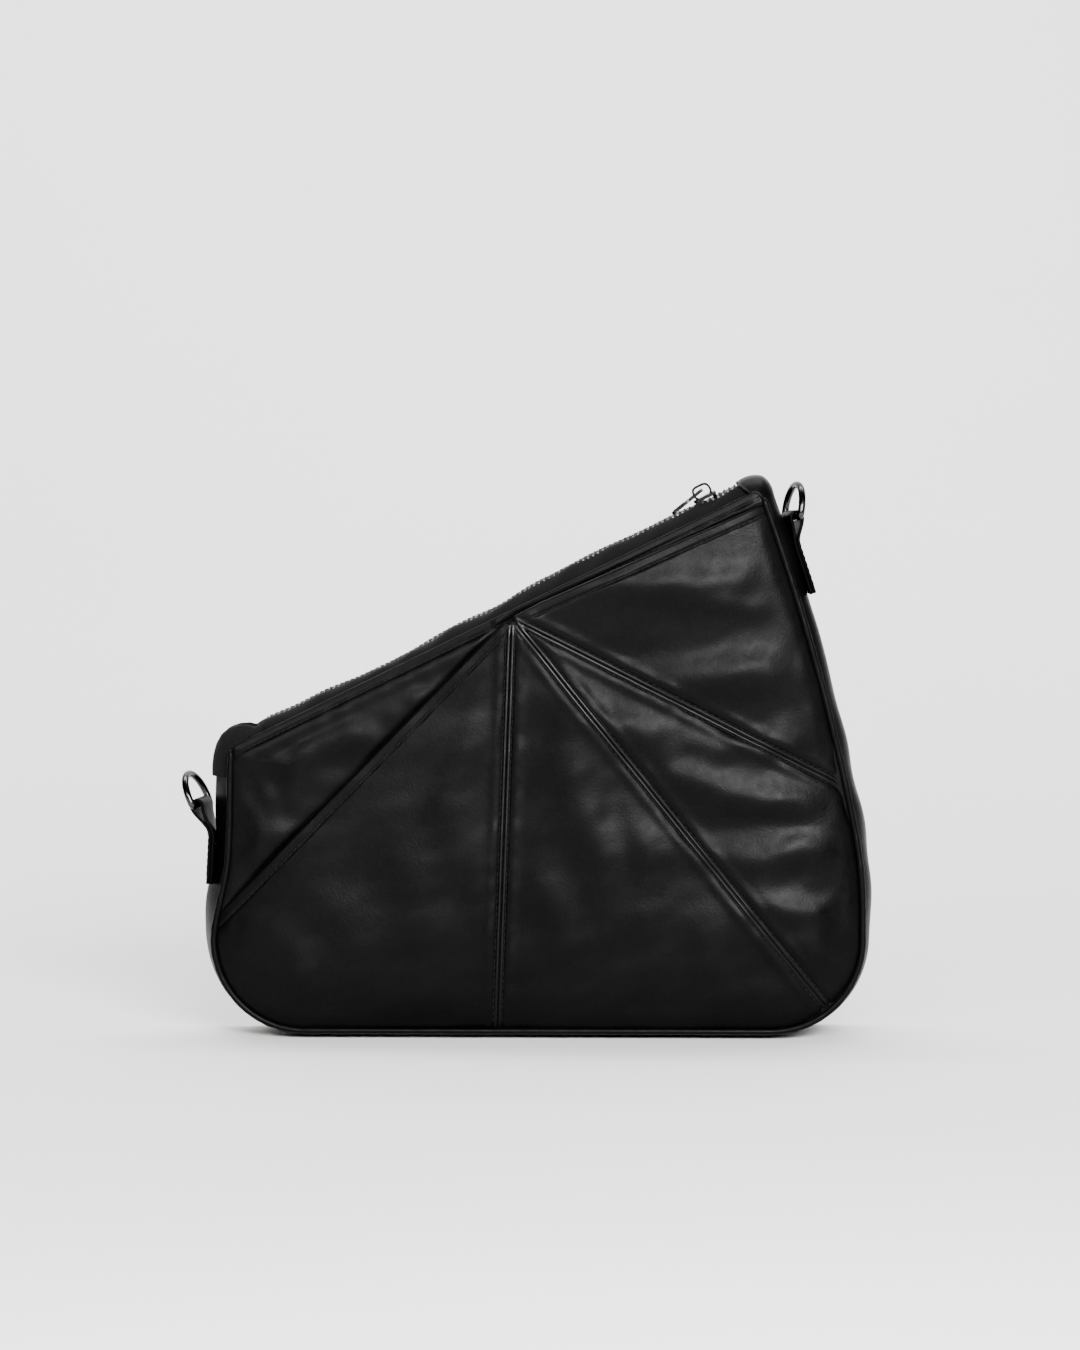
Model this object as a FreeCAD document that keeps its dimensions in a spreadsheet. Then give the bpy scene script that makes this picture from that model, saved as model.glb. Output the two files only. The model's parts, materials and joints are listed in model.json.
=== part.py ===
import FreeCAD, Part
import math
import os

# Asymmetric leather shoulder bag with a slanting zip, standing on its bottom gusset.
# +X runs to the tall end, -Y is the front, +Z is up, and the origin is on the base face. Millimetres.

Vector = FreeCAD.Vector

SIZES = {
    # Side outline of the bag, walked from the top left corner, down, along the base and up the right side
    "base_left": -105.0,
    "base_length": 211.0,
    "base_radius": 45.0,
    "left_lean": 3.1,
    "left_upper": 74.0,
    "left_lower": 10.0,
    "top_slope": 25.0,
    "top_left_radius": 10.0,
    "top_right_radius": 8.0,
    "gusset_joint_turn": 19.5,
    "right_straight": 12.0,
    "hip_radius": 200.0,
    "hip_turn": 11.0,
    "flank_radius": 1000.0,
    "flank_turn_lower": 8.45,
    "flank_turn_upper": 0.55,
    # Leather, lining and board
    "gusset_thick": 6.0,
    "leather_thick": 1.6,
    "overlay_thick": 1.4,
    "pocket_gap": 6.5,
    "allowance_width": 3.5,
    "lining_thick": 0.5,
    "facing_thick": 1.2,
    "facing_height": 12.0,
    "board_thick": 2.0,
    "board_length": 196.0,
    "piping_radius": 1.5,
    "piping_inset": 3.5,
    "panel_inset": 5.0,
    # The front and back lean apart below the zip
    "mouth_half": 12.5,
    "panel_tilt": 2.5,
    # Overlay seams, which fan out from one apex
    "apex_x": -11.3,
    "apex_z": 191.0,
    # Zip: a straight line, with u counted along it from its lower end
    "zip_x": -127.0,
    "zip_z": 141.0,
    "zip_slope": 26.5,
    "tape_length": 245.5,
    "tape_thick": 0.6,
    "tape_flat": 5.0,
    "tape_edge_y": 10.4,
    "tape_edge_drop": 8.0,
    "tape_gap": 1.2,
    "tooth_pitch": 2.5,
    "tooth_count": 95.0,
    "tooth_first": 6.0,
    "tooth_width": 1.05,
    "tooth_reach": 0.9,
    "tooth_root": 3.0,
    "tooth_height": 2.2,
    "slider_u": 228.0,
    "slider_length": 11.0,
    "slider_narrow": 8.6,
    "slider_wide": 10.8,
    "slider_plate": 1.4,
    "channel_height": 3.0,
    "channel_width": 7.2,
    "tape_slot": 1.4,
    "crown_length": 8.8,
    "crown_rise": 5.6,
    "crown_strip": 1.1,
    "crown_width": 2.2,
    "crown_radius": 2.4,
    "pull_axis_height": 5.7,
    "pull_bar_radius": 0.7,
    "pull_hole_length": 5.9,
    "pull_hole_width": 3.0,
    "pull_width": 7.0,
    "pull_neck_width": 5.8,
    "pull_length": 17.0,
    "pull_thick": 1.3,
    "pull_droop": 12.5,
    "open_angle": 16.0,
    "open_lead": 2.0,
    "open_limit": 2.4,
    # Strap tabs and D-rings
    "wire_radius": 1.6,
    "ring_half": 11.4,
    "ring_corner": 2.2,
    "ring_leg": 1.5,
    "ring_lean": 27.0,
    "tab_layer": 1.5,
    "tab_clearance": 0.3,
    "tab_width": 17.4,
    "tab_length": 38.5,
    "tab_closes": 11.0,
    "tab_yaw": 17.0,
    "tab_standoff": 2.6,
    "right_tab_z": 216.9,
    "left_tab_z": 86.8,
}

doc = FreeCAD.newDocument("ShoulderBag")
sheet = doc.addObject("Spreadsheet::Sheet", "Sizes")
for row, (alias, value) in enumerate(SIZES.items(), start=1):
    sheet.set(f"A{row}", alias)
    sheet.set(f"B{row}", repr(value))
    sheet.setAlias(f"B{row}", alias)
doc.recompute()


def size(alias):
    """A driving dimension, as the sheet holds it."""
    return float(sheet.get(alias))


def bind(thing, prop, expression):
    """Bind a property to the sheet. A bare word in braces is a cell's alias."""
    for alias in SIZES:
        expression = expression.replace("{" + alias + "}", f"Sizes.{alias}")
    thing.setExpression(prop, expression)


def spot(x, z):
    """A point of an upright sketch."""
    return Vector(x, z, 0)


def away(angle, length=1.0):
    """A step in an upright sketch, with the angle counted from +X towards +Z."""
    return spot(math.cos(math.radians(angle)), math.sin(math.radians(angle))) * length


# Outline --------------------------------------------------------------------------------------------

TOP_LEFT, LEFT_UPPER, LEFT_LOWER, LEFT_CORNER = 0, 1, 2, 3
BASE_START, BASE, BASE_END = 4, 5, 6
RIGHT_CORNER, RIGHT_STRAIGHT, HIP, FLANK_LOWER, FLANK_UPPER, TOP_RIGHT = 7, 8, 9, 10, 11, 12


def outline_steps():
    """The side outline as (radius, amount): a turn in degrees, or with radius 0 a straight length."""
    joint_turn = size("gusset_joint_turn")
    left_turn = 90 + size("left_lean") - joint_turn
    flank_lean = size("hip_turn") + size("flank_turn_lower") + size("flank_turn_upper")
    return [
        (size("top_left_radius"), 90 - size("left_lean") - size("top_slope")),
        (0, size("left_upper")),
        (0, size("left_lower")),
        (size("base_radius"), left_turn),
        (size("base_radius"), joint_turn),
        (0, size("base_length")),
        (size("base_radius"), joint_turn),
        (size("base_radius"), 90 - joint_turn),
        (0, size("right_straight")),
        (size("hip_radius"), size("hip_turn")),
        (size("flank_radius"), size("flank_turn_lower")),
        (size("flank_radius"), size("flank_turn_upper")),
        (size("top_right_radius"), 90 + size("top_slope") - flank_lean),
    ]


def walk(inset):
    """Start, middle and end of every step of the outline moved inward, with the base line at z = inset."""
    here = spot(0, 0)
    heading = 180 + size("top_slope")
    points = []
    for radius, amount in outline_steps():
        if radius:
            centre = here + away(heading + 90, radius - inset)
            middle = centre + away(heading - 90 + amount / 2, radius - inset)
            end = centre + away(heading - 90 + amount, radius - inset)
            heading += amount
        else:
            middle = None
            end = here + away(heading, amount)
        points.append((here, middle, end))
        here = end
    shift = spot(size("base_left"), inset) - points[BASE][0]
    return [(a + shift, m + shift if m else None, b + shift) for a, m, b in points]


def stretch(first, last, inset, backwards=False):
    """Edges of the outline's steps from first to last."""
    steps = walk(inset)[first : last + 1]
    if backwards:
        steps = [(b, m, a) for a, m, b in reversed(steps)]
    return [Part.Arc(a, m, b) if m else Part.LineSegment(a, b) for a, m, b in steps]


def closed_outline(inset):
    """The whole outline, closed by the straight top edge."""
    steps = walk(inset)
    top_edge = Part.LineSegment(steps[TOP_RIGHT][2], steps[TOP_LEFT][0])
    return stretch(TOP_LEFT, TOP_RIGHT, inset) + [top_edge]


def strip_outline(first, last, outer, inner):
    """A strip that follows the outline between two insets."""
    outside = walk(outer)
    inside = walk(inner)
    cap_end = Part.LineSegment(outside[last][2], inside[last][2])
    cap_start = Part.LineSegment(inside[first][0], outside[first][0])
    inner_edges = stretch(first, last, inner, backwards=True)
    return stretch(first, last, outer) + [cap_end] + inner_edges + [cap_start]


def polygon(points):
    """Straight edges through the points, closed."""
    return [Part.LineSegment(a, b) for a, b in zip(points, points[1:] + points[:1])]


# Features -------------------------------------------------------------------------------------------


def new_sketch(body, plane, edges, name):
    """A sketch on one of the body's own origin planes."""
    sketch = body.newObject("Sketcher::SketchObject", name)
    origin_plane = [f for f in body.Origin.OriginFeatures if f.Role == plane][0]
    sketch.AttachmentSupport = [(origin_plane, "")]
    sketch.MapMode = "FlatFace"
    for edge in edges:
        sketch.addGeometry(edge, False)
    return sketch


def add_pad(body, sketch, name, expression, both_ways=False, reverse=False):
    """Extrude a sketch. On the XZ plane the pad grows towards -Y unless it is reversed."""
    pad = body.newObject("PartDesign::Pad", name)
    pad.Profile = sketch
    pad.Midplane = both_ways
    pad.Reversed = reverse
    bind(pad, "Length", expression)
    sketch.Visibility = False
    return pad


def plate(name, edges, expression, both_ways=False, reverse=False, plane="XZ_Plane"):
    """A body that is one flat pad."""
    body = doc.addObject("PartDesign::Body", name)
    sketch = new_sketch(body, plane, edges, name + "_outline")
    add_pad(body, sketch, name + "_pad", expression, both_ways, reverse)
    return body


def boolean(kind, name, base, tool):
    """A Part boolean of two objects."""
    result = doc.addObject("Part::" + kind, name)
    result.Base = base
    result.Tool = tool
    return result


def sweep(name, spine_wire, section_radius):
    """A round rod along a wire, made from a circle on the wire's start and a sweep."""
    spine = doc.addObject("Part::Feature", name + "_spine")
    spine.Shape = spine_wire
    first = spine_wire.OrderedEdges[0]
    start = first.valueAt(first.FirstParameter)
    tangent = first.tangentAt(first.FirstParameter)
    section = doc.addObject("Part::Circle", name + "_section")
    bind(section, "Radius", "{" + section_radius + "}")
    section.Placement = FreeCAD.Placement(start, FreeCAD.Rotation(Vector(0, 0, 1), tangent))
    rod = doc.addObject("Part::Sweep", name)
    rod.Sections = [section]
    rod.Spine = (spine, [f"Edge{i + 1}" for i in range(len(spine.Shape.Edges))])
    rod.Solid = True
    rod.Frenet = False
    return rod


PARTS = {}


def keep(name, thing):
    """Give a finished sub-part its node name."""
    thing.Label = name
    PARTS[name] = thing
    return thing


# Places ---------------------------------------------------------------------------------------------

ZIP_ROTATION = FreeCAD.Rotation(Vector(0, 1, 0), -size("zip_slope"))
ZIP_ALONG = ZIP_ROTATION.multVec(Vector(1, 0, 0))
ZIP_UP = ZIP_ROTATION.multVec(Vector(0, 0, 1))
ZIP_START = Vector(size("zip_x"), 0, size("zip_z"))
FRONT, BACK = -1, 1


def zip_place(u=0.0, up=0.0):
    """Frame on the zip line: X along the zip, Y across it, Z square to it."""
    return FreeCAD.Placement(ZIP_START + ZIP_ALONG * u + ZIP_UP * up, ZIP_ROTATION)


def panel_place(side, offset=0.0):
    """Plane of the front or back leather's inner face, offset away from the bag's middle."""
    hinge = ZIP_START + Vector(0, side * size("mouth_half"), 0)
    lean = FreeCAD.Rotation(ZIP_ALONG, side * size("panel_tilt"))
    tilt = FreeCAD.Placement(Vector(0, 0, 0), lean, hinge)
    return tilt.multiply(FreeCAD.Placement(Vector(0, side * (size("mouth_half") + offset), 0), FreeCAD.Rotation()))


def space_between(name, shrink):
    """The wedge-shaped space between the front and back planes, shrunk on both sides."""
    wedge = doc.addObject("Part::Wedge", name)
    top, bottom, reach = -20.0, 300.0, 350.0
    lean = math.tan(math.radians(size("panel_tilt")))
    half_top = size("mouth_half") - shrink + top * lean
    half_bottom = size("mouth_half") - shrink + bottom * lean
    wedge.Xmin = wedge.X2min = -reach
    wedge.Xmax = wedge.X2max = reach
    wedge.Ymin, wedge.Ymax = top, bottom
    wedge.Zmin, wedge.Zmax = -half_top, half_top
    wedge.Z2min, wedge.Z2max = -half_bottom, half_bottom
    # Wedge Y runs away from the zip and down, and wedge Z runs across the bag
    turn = FreeCAD.Rotation(ZIP_ALONG, -ZIP_UP, Vector(0, 1, 0), "XYZ")
    wedge.Placement = FreeCAD.Placement(ZIP_START, turn)
    return wedge


# Shell ----------------------------------------------------------------------------------------------


def build_panels():
    """Front and back leather, and their linings."""
    for side, word in ((FRONT, "front"), (BACK, "back")):
        outwards = side == BACK
        panel = plate(word + "_panel_body", closed_outline(size("panel_inset")), "{leather_thick}", reverse=outwards)
        panel.Placement = panel_place(side)
        keep(word + "_panel", panel)
        lining_edges = closed_outline(size("gusset_thick") + 2 * size("lining_thick"))
        lining = plate(word + "_lining_body", lining_edges, "{lining_thick}", reverse=not outwards)
        lining.Placement = panel_place(side)
        keep("lining_" + word, lining)


def build_gussets():
    """Three leather strips between the panels, and the lining strip inside them."""
    thick = size("gusset_thick")
    space = space_between("gusset_space", 0.0)
    stretches = {
        "gusset_left": (TOP_LEFT, LEFT_CORNER),
        "gusset_bottom": (BASE_START, BASE_END),
        "gusset_right": (RIGHT_CORNER, TOP_RIGHT),
    }
    for name, (first, last) in stretches.items():
        strip = plate(name + "_strip", strip_outline(first, last, 0.0, thick), "{mouth_half} * 8", both_ways=True)
        keep(name, boolean("Common", name + "_cut", strip, space))
    lining_edges = strip_outline(LEFT_UPPER, FLANK_UPPER, thick, thick + size("lining_thick"))
    lining = plate("gusset_lining_strip", lining_edges, "{mouth_half} * 8", both_ways=True)
    lining_space = space_between("lining_space", 2 * size("lining_thick"))
    keep("lining_gusset", boolean("Common", "gusset_lining_cut", lining, lining_space))


def build_base_board():
    """Stiff board on the bottom gusset, narrower at the shallow end of the bag."""
    body = doc.addObject("PartDesign::Body", "base_board_body")
    half = size("board_length") / 2
    corners = [(-half, -16.0), (half, -20.0), (half, 20.0), (-half, 16.0)]
    sketch = new_sketch(body, "XY_Plane", polygon([spot(x, y) for x, y in corners]), "base_board_outline")
    add_pad(body, sketch, "base_board_pad", "{board_thick}")
    body.Placement.Base = Vector(0, 0, size("gusset_thick") + size("lining_thick"))
    keep("base_board", body)


def build_piping():
    """Corded piping in the seams between the panels and the gusset."""
    for side, word in ((FRONT, "front"), (BACK, "back")):
        edges = [g.toShape() for g in stretch(LEFT_UPPER, FLANK_UPPER, size("piping_inset"))]
        wire = Part.Wire(edges)
        upright = FreeCAD.Placement(Vector(0, 0, 0), FreeCAD.Rotation(Vector(1, 0, 0), 90))
        place = panel_place(side, size("piping_radius")).multiply(upright)
        wire.transformShape(place.toMatrix())
        keep("piping_" + word, sweep("piping_" + word + "_rod", wire, "piping_radius"))


def build_overlay():
    """Front overlay of four wedges that meet at one apex, sewn to the front panel by an allowance strip."""
    inset = size("panel_inset")
    apex = spot(size("apex_x"), size("apex_z"))
    seam_ends = [spot(-141.5, 57.7), spot(-17.8, 6.0), spot(131.5, 14.5), spot(136.2, 116.5), spot(100.4, 240.3)]
    overrun = 1.3
    far_ends = [apex + (end - apex) * overrun for end in seam_ends]
    offset = size("leather_thick") + size("pocket_gap")
    sheet_body = plate("overlay_sheet", closed_outline(inset), "{overlay_thick}")
    sheet_body.Placement = panel_place(FRONT, offset)
    names = ["left", "middle", "right", "top"]
    for name, start, end in zip(names, far_ends, far_ends[1:]):
        cutter = plate("overlay_cutter_" + name, polygon([apex, start, end]), "{pocket_gap} * 4", both_ways=True)
        cutter.Placement = panel_place(FRONT, offset)
        keep("overlay_" + name, boolean("Common", "overlay_cut_" + name, sheet_body, cutter))
    allowance_edges = strip_outline(LEFT_LOWER, FLANK_LOWER, inset, inset + size("allowance_width"))
    allowance = plate("overlay_allowance_body", allowance_edges, "{pocket_gap}")
    allowance.Placement = panel_place(FRONT, size("leather_thick"))
    keep("overlay_allowance", allowance)


# Zip ------------------------------------------------------------------------------------------------


def build_facings():
    """Leather facings inside the mouth, which the zip tapes are sewn to."""
    start, end = spot(-126.0, 136.5), spot(86.0, 235.4)
    down = away(size("top_slope") - 90, size("facing_height"))
    for side, word in ((FRONT, "front"), (BACK, "back")):
        edges = polygon([start, end, end + down, start + down])
        facing = plate("facing_body_" + word, edges, "{facing_thick}", reverse=side == FRONT)
        facing.Placement = panel_place(side, -size("lining_thick"))
        keep("mouth_facing_" + word, facing)


def spread(u):
    """Half the gap between the two rows of teeth: none below the slider, opening inside and above it."""
    run = max(0.0, u - size("slider_u") + size("open_lead"))
    return min(size("open_limit"), run * math.tan(math.radians(size("open_angle"))))


def build_tapes():
    """Two tape halves. Each lies flat beside the teeth and then slopes down to the facing."""
    thick = size("tape_thick")
    flat, gap = size("tape_flat"), size("tape_gap")
    edge_y, drop = size("tape_edge_y"), size("tape_edge_drop")
    for side, word in ((FRONT, "front"), (BACK, "back")):
        section = [
            spot(side * gap, thick / 2),
            spot(side * flat, thick / 2),
            spot(side * edge_y, -drop),
            spot(side * (edge_y - thick), -drop - thick / 2),
            spot(side * (flat - thick / 2), -thick / 2),
            spot(side * gap, -thick / 2),
        ]
        tape = plate("tape_body_" + word, polygon(section), "{tape_length}", plane="YZ_Plane")
        tape.Placement = zip_place()
        keep("zip_tape_" + word, tape)


def build_teeth():
    """Two rows of metal teeth. The back row stands half a pitch further on, so the rows mesh."""
    for side, word in ((FRONT, "front"), (BACK, "back")):
        teeth = []
        for number in range(int(size("tooth_count"))):
            half_pitch = 0.5 if side == BACK else 0.0
            u = size("tooth_first") + (number + half_pitch) * size("tooth_pitch")
            tooth = doc.addObject("Part::Box", f"tooth_{word}_{number}")
            bind(tooth, "Length", "{tooth_width}")
            bind(tooth, "Width", "{tooth_root} + {tooth_reach}")
            bind(tooth, "Height", "{tooth_height}")
            inner = size("tooth_reach") if side == FRONT else -size("tooth_root")
            low = -size("tooth_root") if side == FRONT else -size("tooth_reach")
            corner = Vector(-size("tooth_width") / 2, low + side * spread(u), -size("tooth_height") / 2)
            tooth.Placement = zip_place(u).multiply(FreeCAD.Placement(corner, FreeCAD.Rotation()))
            teeth.append(tooth)
        row = doc.addObject("Part::Compound", "teeth_row_" + word)
        row.Links = teeth
        keep("zip_teeth_" + word, row)


def zip_box(name, u, low_y, low_up, length, width, rise):
    """A block square to the zip line."""
    block = doc.addObject("Part::Box", name + "_block")
    block.Length, block.Width, block.Height = length, width, rise
    block.Placement = zip_place(u).multiply(FreeCAD.Placement(Vector(0, low_y, low_up), FreeCAD.Rotation()))
    return keep(name, block)


def build_stops():
    """Stops at both ends of the zip, and the tab that covers its lower end."""
    stop_length, stop_width, stop_rise = 2.4, 2.2, 2.8
    stop_u = size("slider_u") + 15.4
    opening = spread(stop_u)
    zip_box("zip_stop_front", stop_u, -opening - stop_width, 0.5, stop_length, stop_width, stop_rise)
    zip_box("zip_stop_back", stop_u, opening, 0.5, stop_length, stop_width, stop_rise)
    zip_box("zip_bottom_stop", 1.6, -1.1, -stop_rise / 2, stop_length, 2.2, stop_rise)
    zip_box("zip_end_tab", -8.5, -8.5, -2.8, 7.9, 17.0, 1.6)


def build_slider():
    """Slider: two plates and a crown, with a channel for the teeth and a slot for the tape on each side."""
    body = doc.addObject("PartDesign::Body", "slider_body")
    half = size("slider_length") / 2
    narrow, wide = size("slider_narrow") / 2, size("slider_wide") / 2
    snub = 2.0
    plan = [
        spot(-half, snub - narrow),
        spot(snub - half, -narrow),
        spot(0, -narrow),
        spot(half - snub, -wide),
        spot(half, -wide),
        spot(half, wide),
        spot(half - snub, wide),
        spot(0, narrow),
        spot(snub - half, narrow),
        spot(-half, narrow - snub),
    ]
    plan_sketch = new_sketch(body, "XY_Plane", polygon(plan), "slider_plan")
    add_pad(body, plan_sketch, "slider_block", "{channel_height} + 2 * {slider_plate}", both_ways=True)

    top = size("channel_height") / 2 + size("slider_plate")
    reach, rise, strip = size("crown_length") / 2, size("crown_rise"), size("crown_strip")
    outside = arch_edges(reach, top - strip / 2, top + rise, size("crown_radius"))
    inside = arch_edges(reach - strip, top, top + rise - strip, size("crown_radius") - strip)
    crown_sketch = new_sketch(body, "XZ_Plane", outside + inside, "slider_crown_side")
    add_pad(body, crown_sketch, "slider_crown", "{crown_width}", both_ways=True)

    channel = size("channel_height") / 2
    slot = size("tape_slot") / 2
    side = size("channel_width") / 2
    past = wide + 1
    cross = [
        spot(-past, -slot),
        spot(-side, -slot),
        spot(-side, -channel),
        spot(side, -channel),
        spot(side, -slot),
        spot(past, -slot),
        spot(past, slot),
        spot(side, slot),
        spot(side, channel),
        spot(-side, channel),
        spot(-side, slot),
        spot(-past, slot),
    ]
    cross_sketch = new_sketch(body, "YZ_Plane", polygon(cross), "slider_channel_section")
    pocket = body.newObject("PartDesign::Pocket", "slider_channel")
    pocket.Profile = cross_sketch
    pocket.Midplane = True
    bind(pocket, "Length", "{slider_length} * 2")

    # At the open end the channel takes the full width, for the rows that part there
    mouth = [spot(-0.5, -past), spot(half + 1, -past), spot(half + 1, past), spot(-0.5, past)]
    mouth_sketch = new_sketch(body, "XY_Plane", polygon(mouth), "slider_mouth_plan")
    mouth_pocket = body.newObject("PartDesign::Pocket", "slider_mouth")
    mouth_pocket.Profile = mouth_sketch
    mouth_pocket.Midplane = True
    bind(mouth_pocket, "Length", "{channel_height}")

    # The two plates are joined by the post that parts the rows
    post_edges = polygon([spot(half - 2.0, 0), spot(half, -0.8), spot(half, 0.8)])
    post_sketch = new_sketch(body, "XY_Plane", post_edges, "slider_post_plan")
    add_pad(body, post_sketch, "slider_post", "{channel_height} + {slider_plate}", both_ways=True)
    body.Placement = zip_place(size("slider_u"))
    keep("zip_slider", body)


def arch_edges(reach, low, high, radius):
    """A rectangle with two rounded upper corners, centred on the slider."""
    bend = radius * (1 - math.sqrt(0.5))
    return [
        Part.LineSegment(spot(-reach, low), spot(reach, low)),
        Part.LineSegment(spot(reach, low), spot(reach, high - radius)),
        Part.Arc(spot(reach, high - radius), spot(reach - bend, high - bend), spot(reach - radius, high)),
        Part.LineSegment(spot(reach - radius, high), spot(radius - reach, high)),
        Part.Arc(spot(radius - reach, high), spot(bend - reach, high - bend), spot(-reach, high - radius)),
        Part.LineSegment(spot(-reach, high - radius), spot(-reach, low)),
    ]


def build_pull():
    """Pull tab: a plate with a slot for the crown, hung by a round bar under the crown."""
    body = doc.addObject("PartDesign::Body", "pull_body")
    hole, hole_half = size("pull_hole_length"), size("pull_hole_width") / 2
    neck, wide = size("pull_neck_width") / 2, size("pull_width") / 2
    length, corner = size("pull_length"), 1.8
    plan = [
        spot(0, -neck),
        spot(0, neck),
        spot(-hole, neck),
        spot(-hole - 2, wide),
        spot(corner - length, wide),
        spot(-length, wide - corner),
        spot(-length, corner - wide),
        spot(corner - length, -wide),
        spot(-hole - 2, -wide),
        spot(-hole, -neck),
    ]
    slot = [spot(1, -hole_half), spot(1, hole_half), spot(-hole, hole_half), spot(-hole, -hole_half)]
    plan_sketch = new_sketch(body, "XY_Plane", polygon(plan), "pull_plan")
    add_pad(body, plan_sketch, "pull_plate", "{pull_thick}", both_ways=True)
    slot_sketch = new_sketch(body, "XY_Plane", polygon(slot), "pull_slot_plan")
    pocket = body.newObject("PartDesign::Pocket", "pull_slot")
    pocket.Profile = slot_sketch
    pocket.Midplane = True
    bind(pocket, "Length", "{pull_thick} * 3")
    circle = Part.Circle(Vector(0, 0, 0), Vector(0, 0, 1), size("pull_bar_radius"))
    bar_sketch = new_sketch(body, "XZ_Plane", [circle], "pull_bar_section")
    add_pad(body, bar_sketch, "pull_bar", "{pull_neck_width}", both_ways=True)
    droop = FreeCAD.Placement(Vector(0, 0, 0), FreeCAD.Rotation(Vector(0, 1, 0), -size("pull_droop")))
    body.Placement = zip_place(size("slider_u"), size("pull_axis_height")).multiply(droop)
    keep("zip_pull", body)


# Strap fittings -------------------------------------------------------------------------------------


def fitting_place(outline_point, up_angle, yaw, outward):
    """Frame of a strap fitting on its ring's bar: X away from the bag, Z up along the tab, Y along the bar."""
    up = Vector(math.cos(math.radians(up_angle)), 0, math.sin(math.radians(up_angle)))
    across = up.cross(outward)
    flat = FreeCAD.Rotation(outward, across, up, "XYZ")
    turned = flat.multiply(FreeCAD.Rotation(Vector(0, 0, 1), yaw))
    loop = size("wire_radius") + size("tab_clearance") + size("tab_layer")
    rise = size("tab_length") / 2 - loop / 2
    bar = outline_point + outward * (loop + size("tab_standoff")) + up * rise
    return FreeCAD.Placement(bar, turned)


def flank_point(height):
    """Point of the right flank at a height, and the direction of the flank there."""
    start = walk(0.0)[FLANK_LOWER][0]
    lean = size("hip_turn")
    radius = size("flank_radius")
    centre = start - away(lean, radius)
    angle = math.degrees(math.asin((height - centre.y) / radius))
    point = centre + away(angle, radius)
    return Vector(point.x, 0, point.y), angle


def left_point(height):
    """Point of the left side at a height."""
    top, _, bottom = walk(0.0)[LEFT_UPPER]
    share = (height - bottom.y) / (top.y - bottom.y)
    point = bottom + (top - bottom) * share
    return Vector(point.x, 0, point.y)


def tab_edges():
    """Side view of the folded tab: two layers that part around the bar."""
    inner = size("wire_radius") + size("tab_clearance")
    outer = inner + size("tab_layer")
    layer = size("tab_layer")
    low = outer - size("tab_length")
    closes = -size("tab_closes")
    face = 2 * layer - outer
    outside = [
        Part.LineSegment(spot(-outer, low), spot(-outer, 0)),
        Part.Arc(spot(-outer, 0), spot(0, outer), spot(outer, 0)),
        Part.LineSegment(spot(outer, 0), spot(face, closes)),
        Part.LineSegment(spot(face, closes), spot(face, low)),
        Part.LineSegment(spot(face, low), spot(-outer, low)),
    ]
    inside = [
        Part.LineSegment(spot(-inner, closes + layer), spot(-inner, 0)),
        Part.Arc(spot(-inner, 0), spot(0, inner), spot(inner, 0)),
        Part.LineSegment(spot(inner, 0), spot(-inner, closes + layer)),
    ]
    return outside + inside


def ring_wire():
    """Centre line of a D-ring: bar along Y at the origin, arc above."""
    half, corner, leg = size("ring_half"), size("ring_corner"), size("ring_leg")
    bend = corner * (1 - math.sqrt(0.5))
    rise = corner + leg
    top = rise + half
    edges = [
        Part.LineSegment(Vector(0, corner - half, 0), Vector(0, half - corner, 0)),
        Part.Arc(Vector(0, half - corner, 0), Vector(0, half - bend, bend), Vector(0, half, corner)),
        Part.LineSegment(Vector(0, half, corner), Vector(0, half, rise)),
        Part.Arc(Vector(0, half, rise), Vector(0, 0, top), Vector(0, -half, rise)),
        Part.LineSegment(Vector(0, -half, rise), Vector(0, -half, corner)),
        Part.Arc(Vector(0, -half, corner), Vector(0, bend - half, bend), Vector(0, corner - half, 0)),
    ]
    return Part.Wire([edge.toShape() for edge in edges])


def build_fitting(word, place):
    """A folded leather tab and the D-ring that it holds."""
    tab = plate("strap_tab_body_" + word, tab_edges(), "{tab_width}", both_ways=True)
    tab.Placement = place
    keep("strap_tab_" + word, tab)
    wire = ring_wire()
    lean = FreeCAD.Placement(Vector(0, 0, 0), FreeCAD.Rotation(Vector(0, 1, 0), size("ring_lean")))
    wire.transformShape(place.multiply(lean).toMatrix())
    keep("d_ring_" + word, sweep("d_ring_rod_" + word, wire, "wire_radius"))
    bar = place.Base
    axis = place.Rotation.multVec(Vector(0, 1, 0))
    print(f"ring {word}: bar {tuple(round(v, 4) for v in bar)} axis {tuple(round(v, 6) for v in axis)}")


def build_fittings():
    """Both strap fittings. Each is turned a little so that its front edge stands off the gusset."""
    right_point, right_angle = flank_point(size("right_tab_z"))
    right_out = Vector(math.cos(math.radians(right_angle)), 0, math.sin(math.radians(right_angle)))
    build_fitting("right", fitting_place(right_point, right_angle + 90, size("tab_yaw"), right_out))
    lean = math.radians(size("left_lean"))
    left_out = Vector(-math.cos(lean), 0, math.sin(lean))
    left_up = 90 - size("left_lean")
    build_fitting("left", fitting_place(left_point(size("left_tab_z")), left_up, -size("tab_yaw"), left_out))


# Build and write ------------------------------------------------------------------------------------

build_panels()
build_gussets()
build_base_board()
build_piping()
build_overlay()
build_facings()
build_tapes()
build_teeth()
build_stops()
build_slider()
build_pull()
build_fittings()
doc.recompute()

print("zip along", tuple(round(v, 6) for v in ZIP_ALONG))
print("slider", tuple(round(v, 4) for v in zip_place(size("slider_u")).Base))
print("pull axis", tuple(round(v, 4) for v in zip_place(size("slider_u"), size("pull_axis_height")).Base))
hinge_drop = -size("tape_edge_drop")
for hinge_side in (FRONT, BACK):
    hinge_base = zip_place(0.0, hinge_drop).Base + Vector(0, hinge_side * size("tape_edge_y"), 0)
    print("mouth hinge", tuple(round(v, 4) for v in hinge_base))

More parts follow.
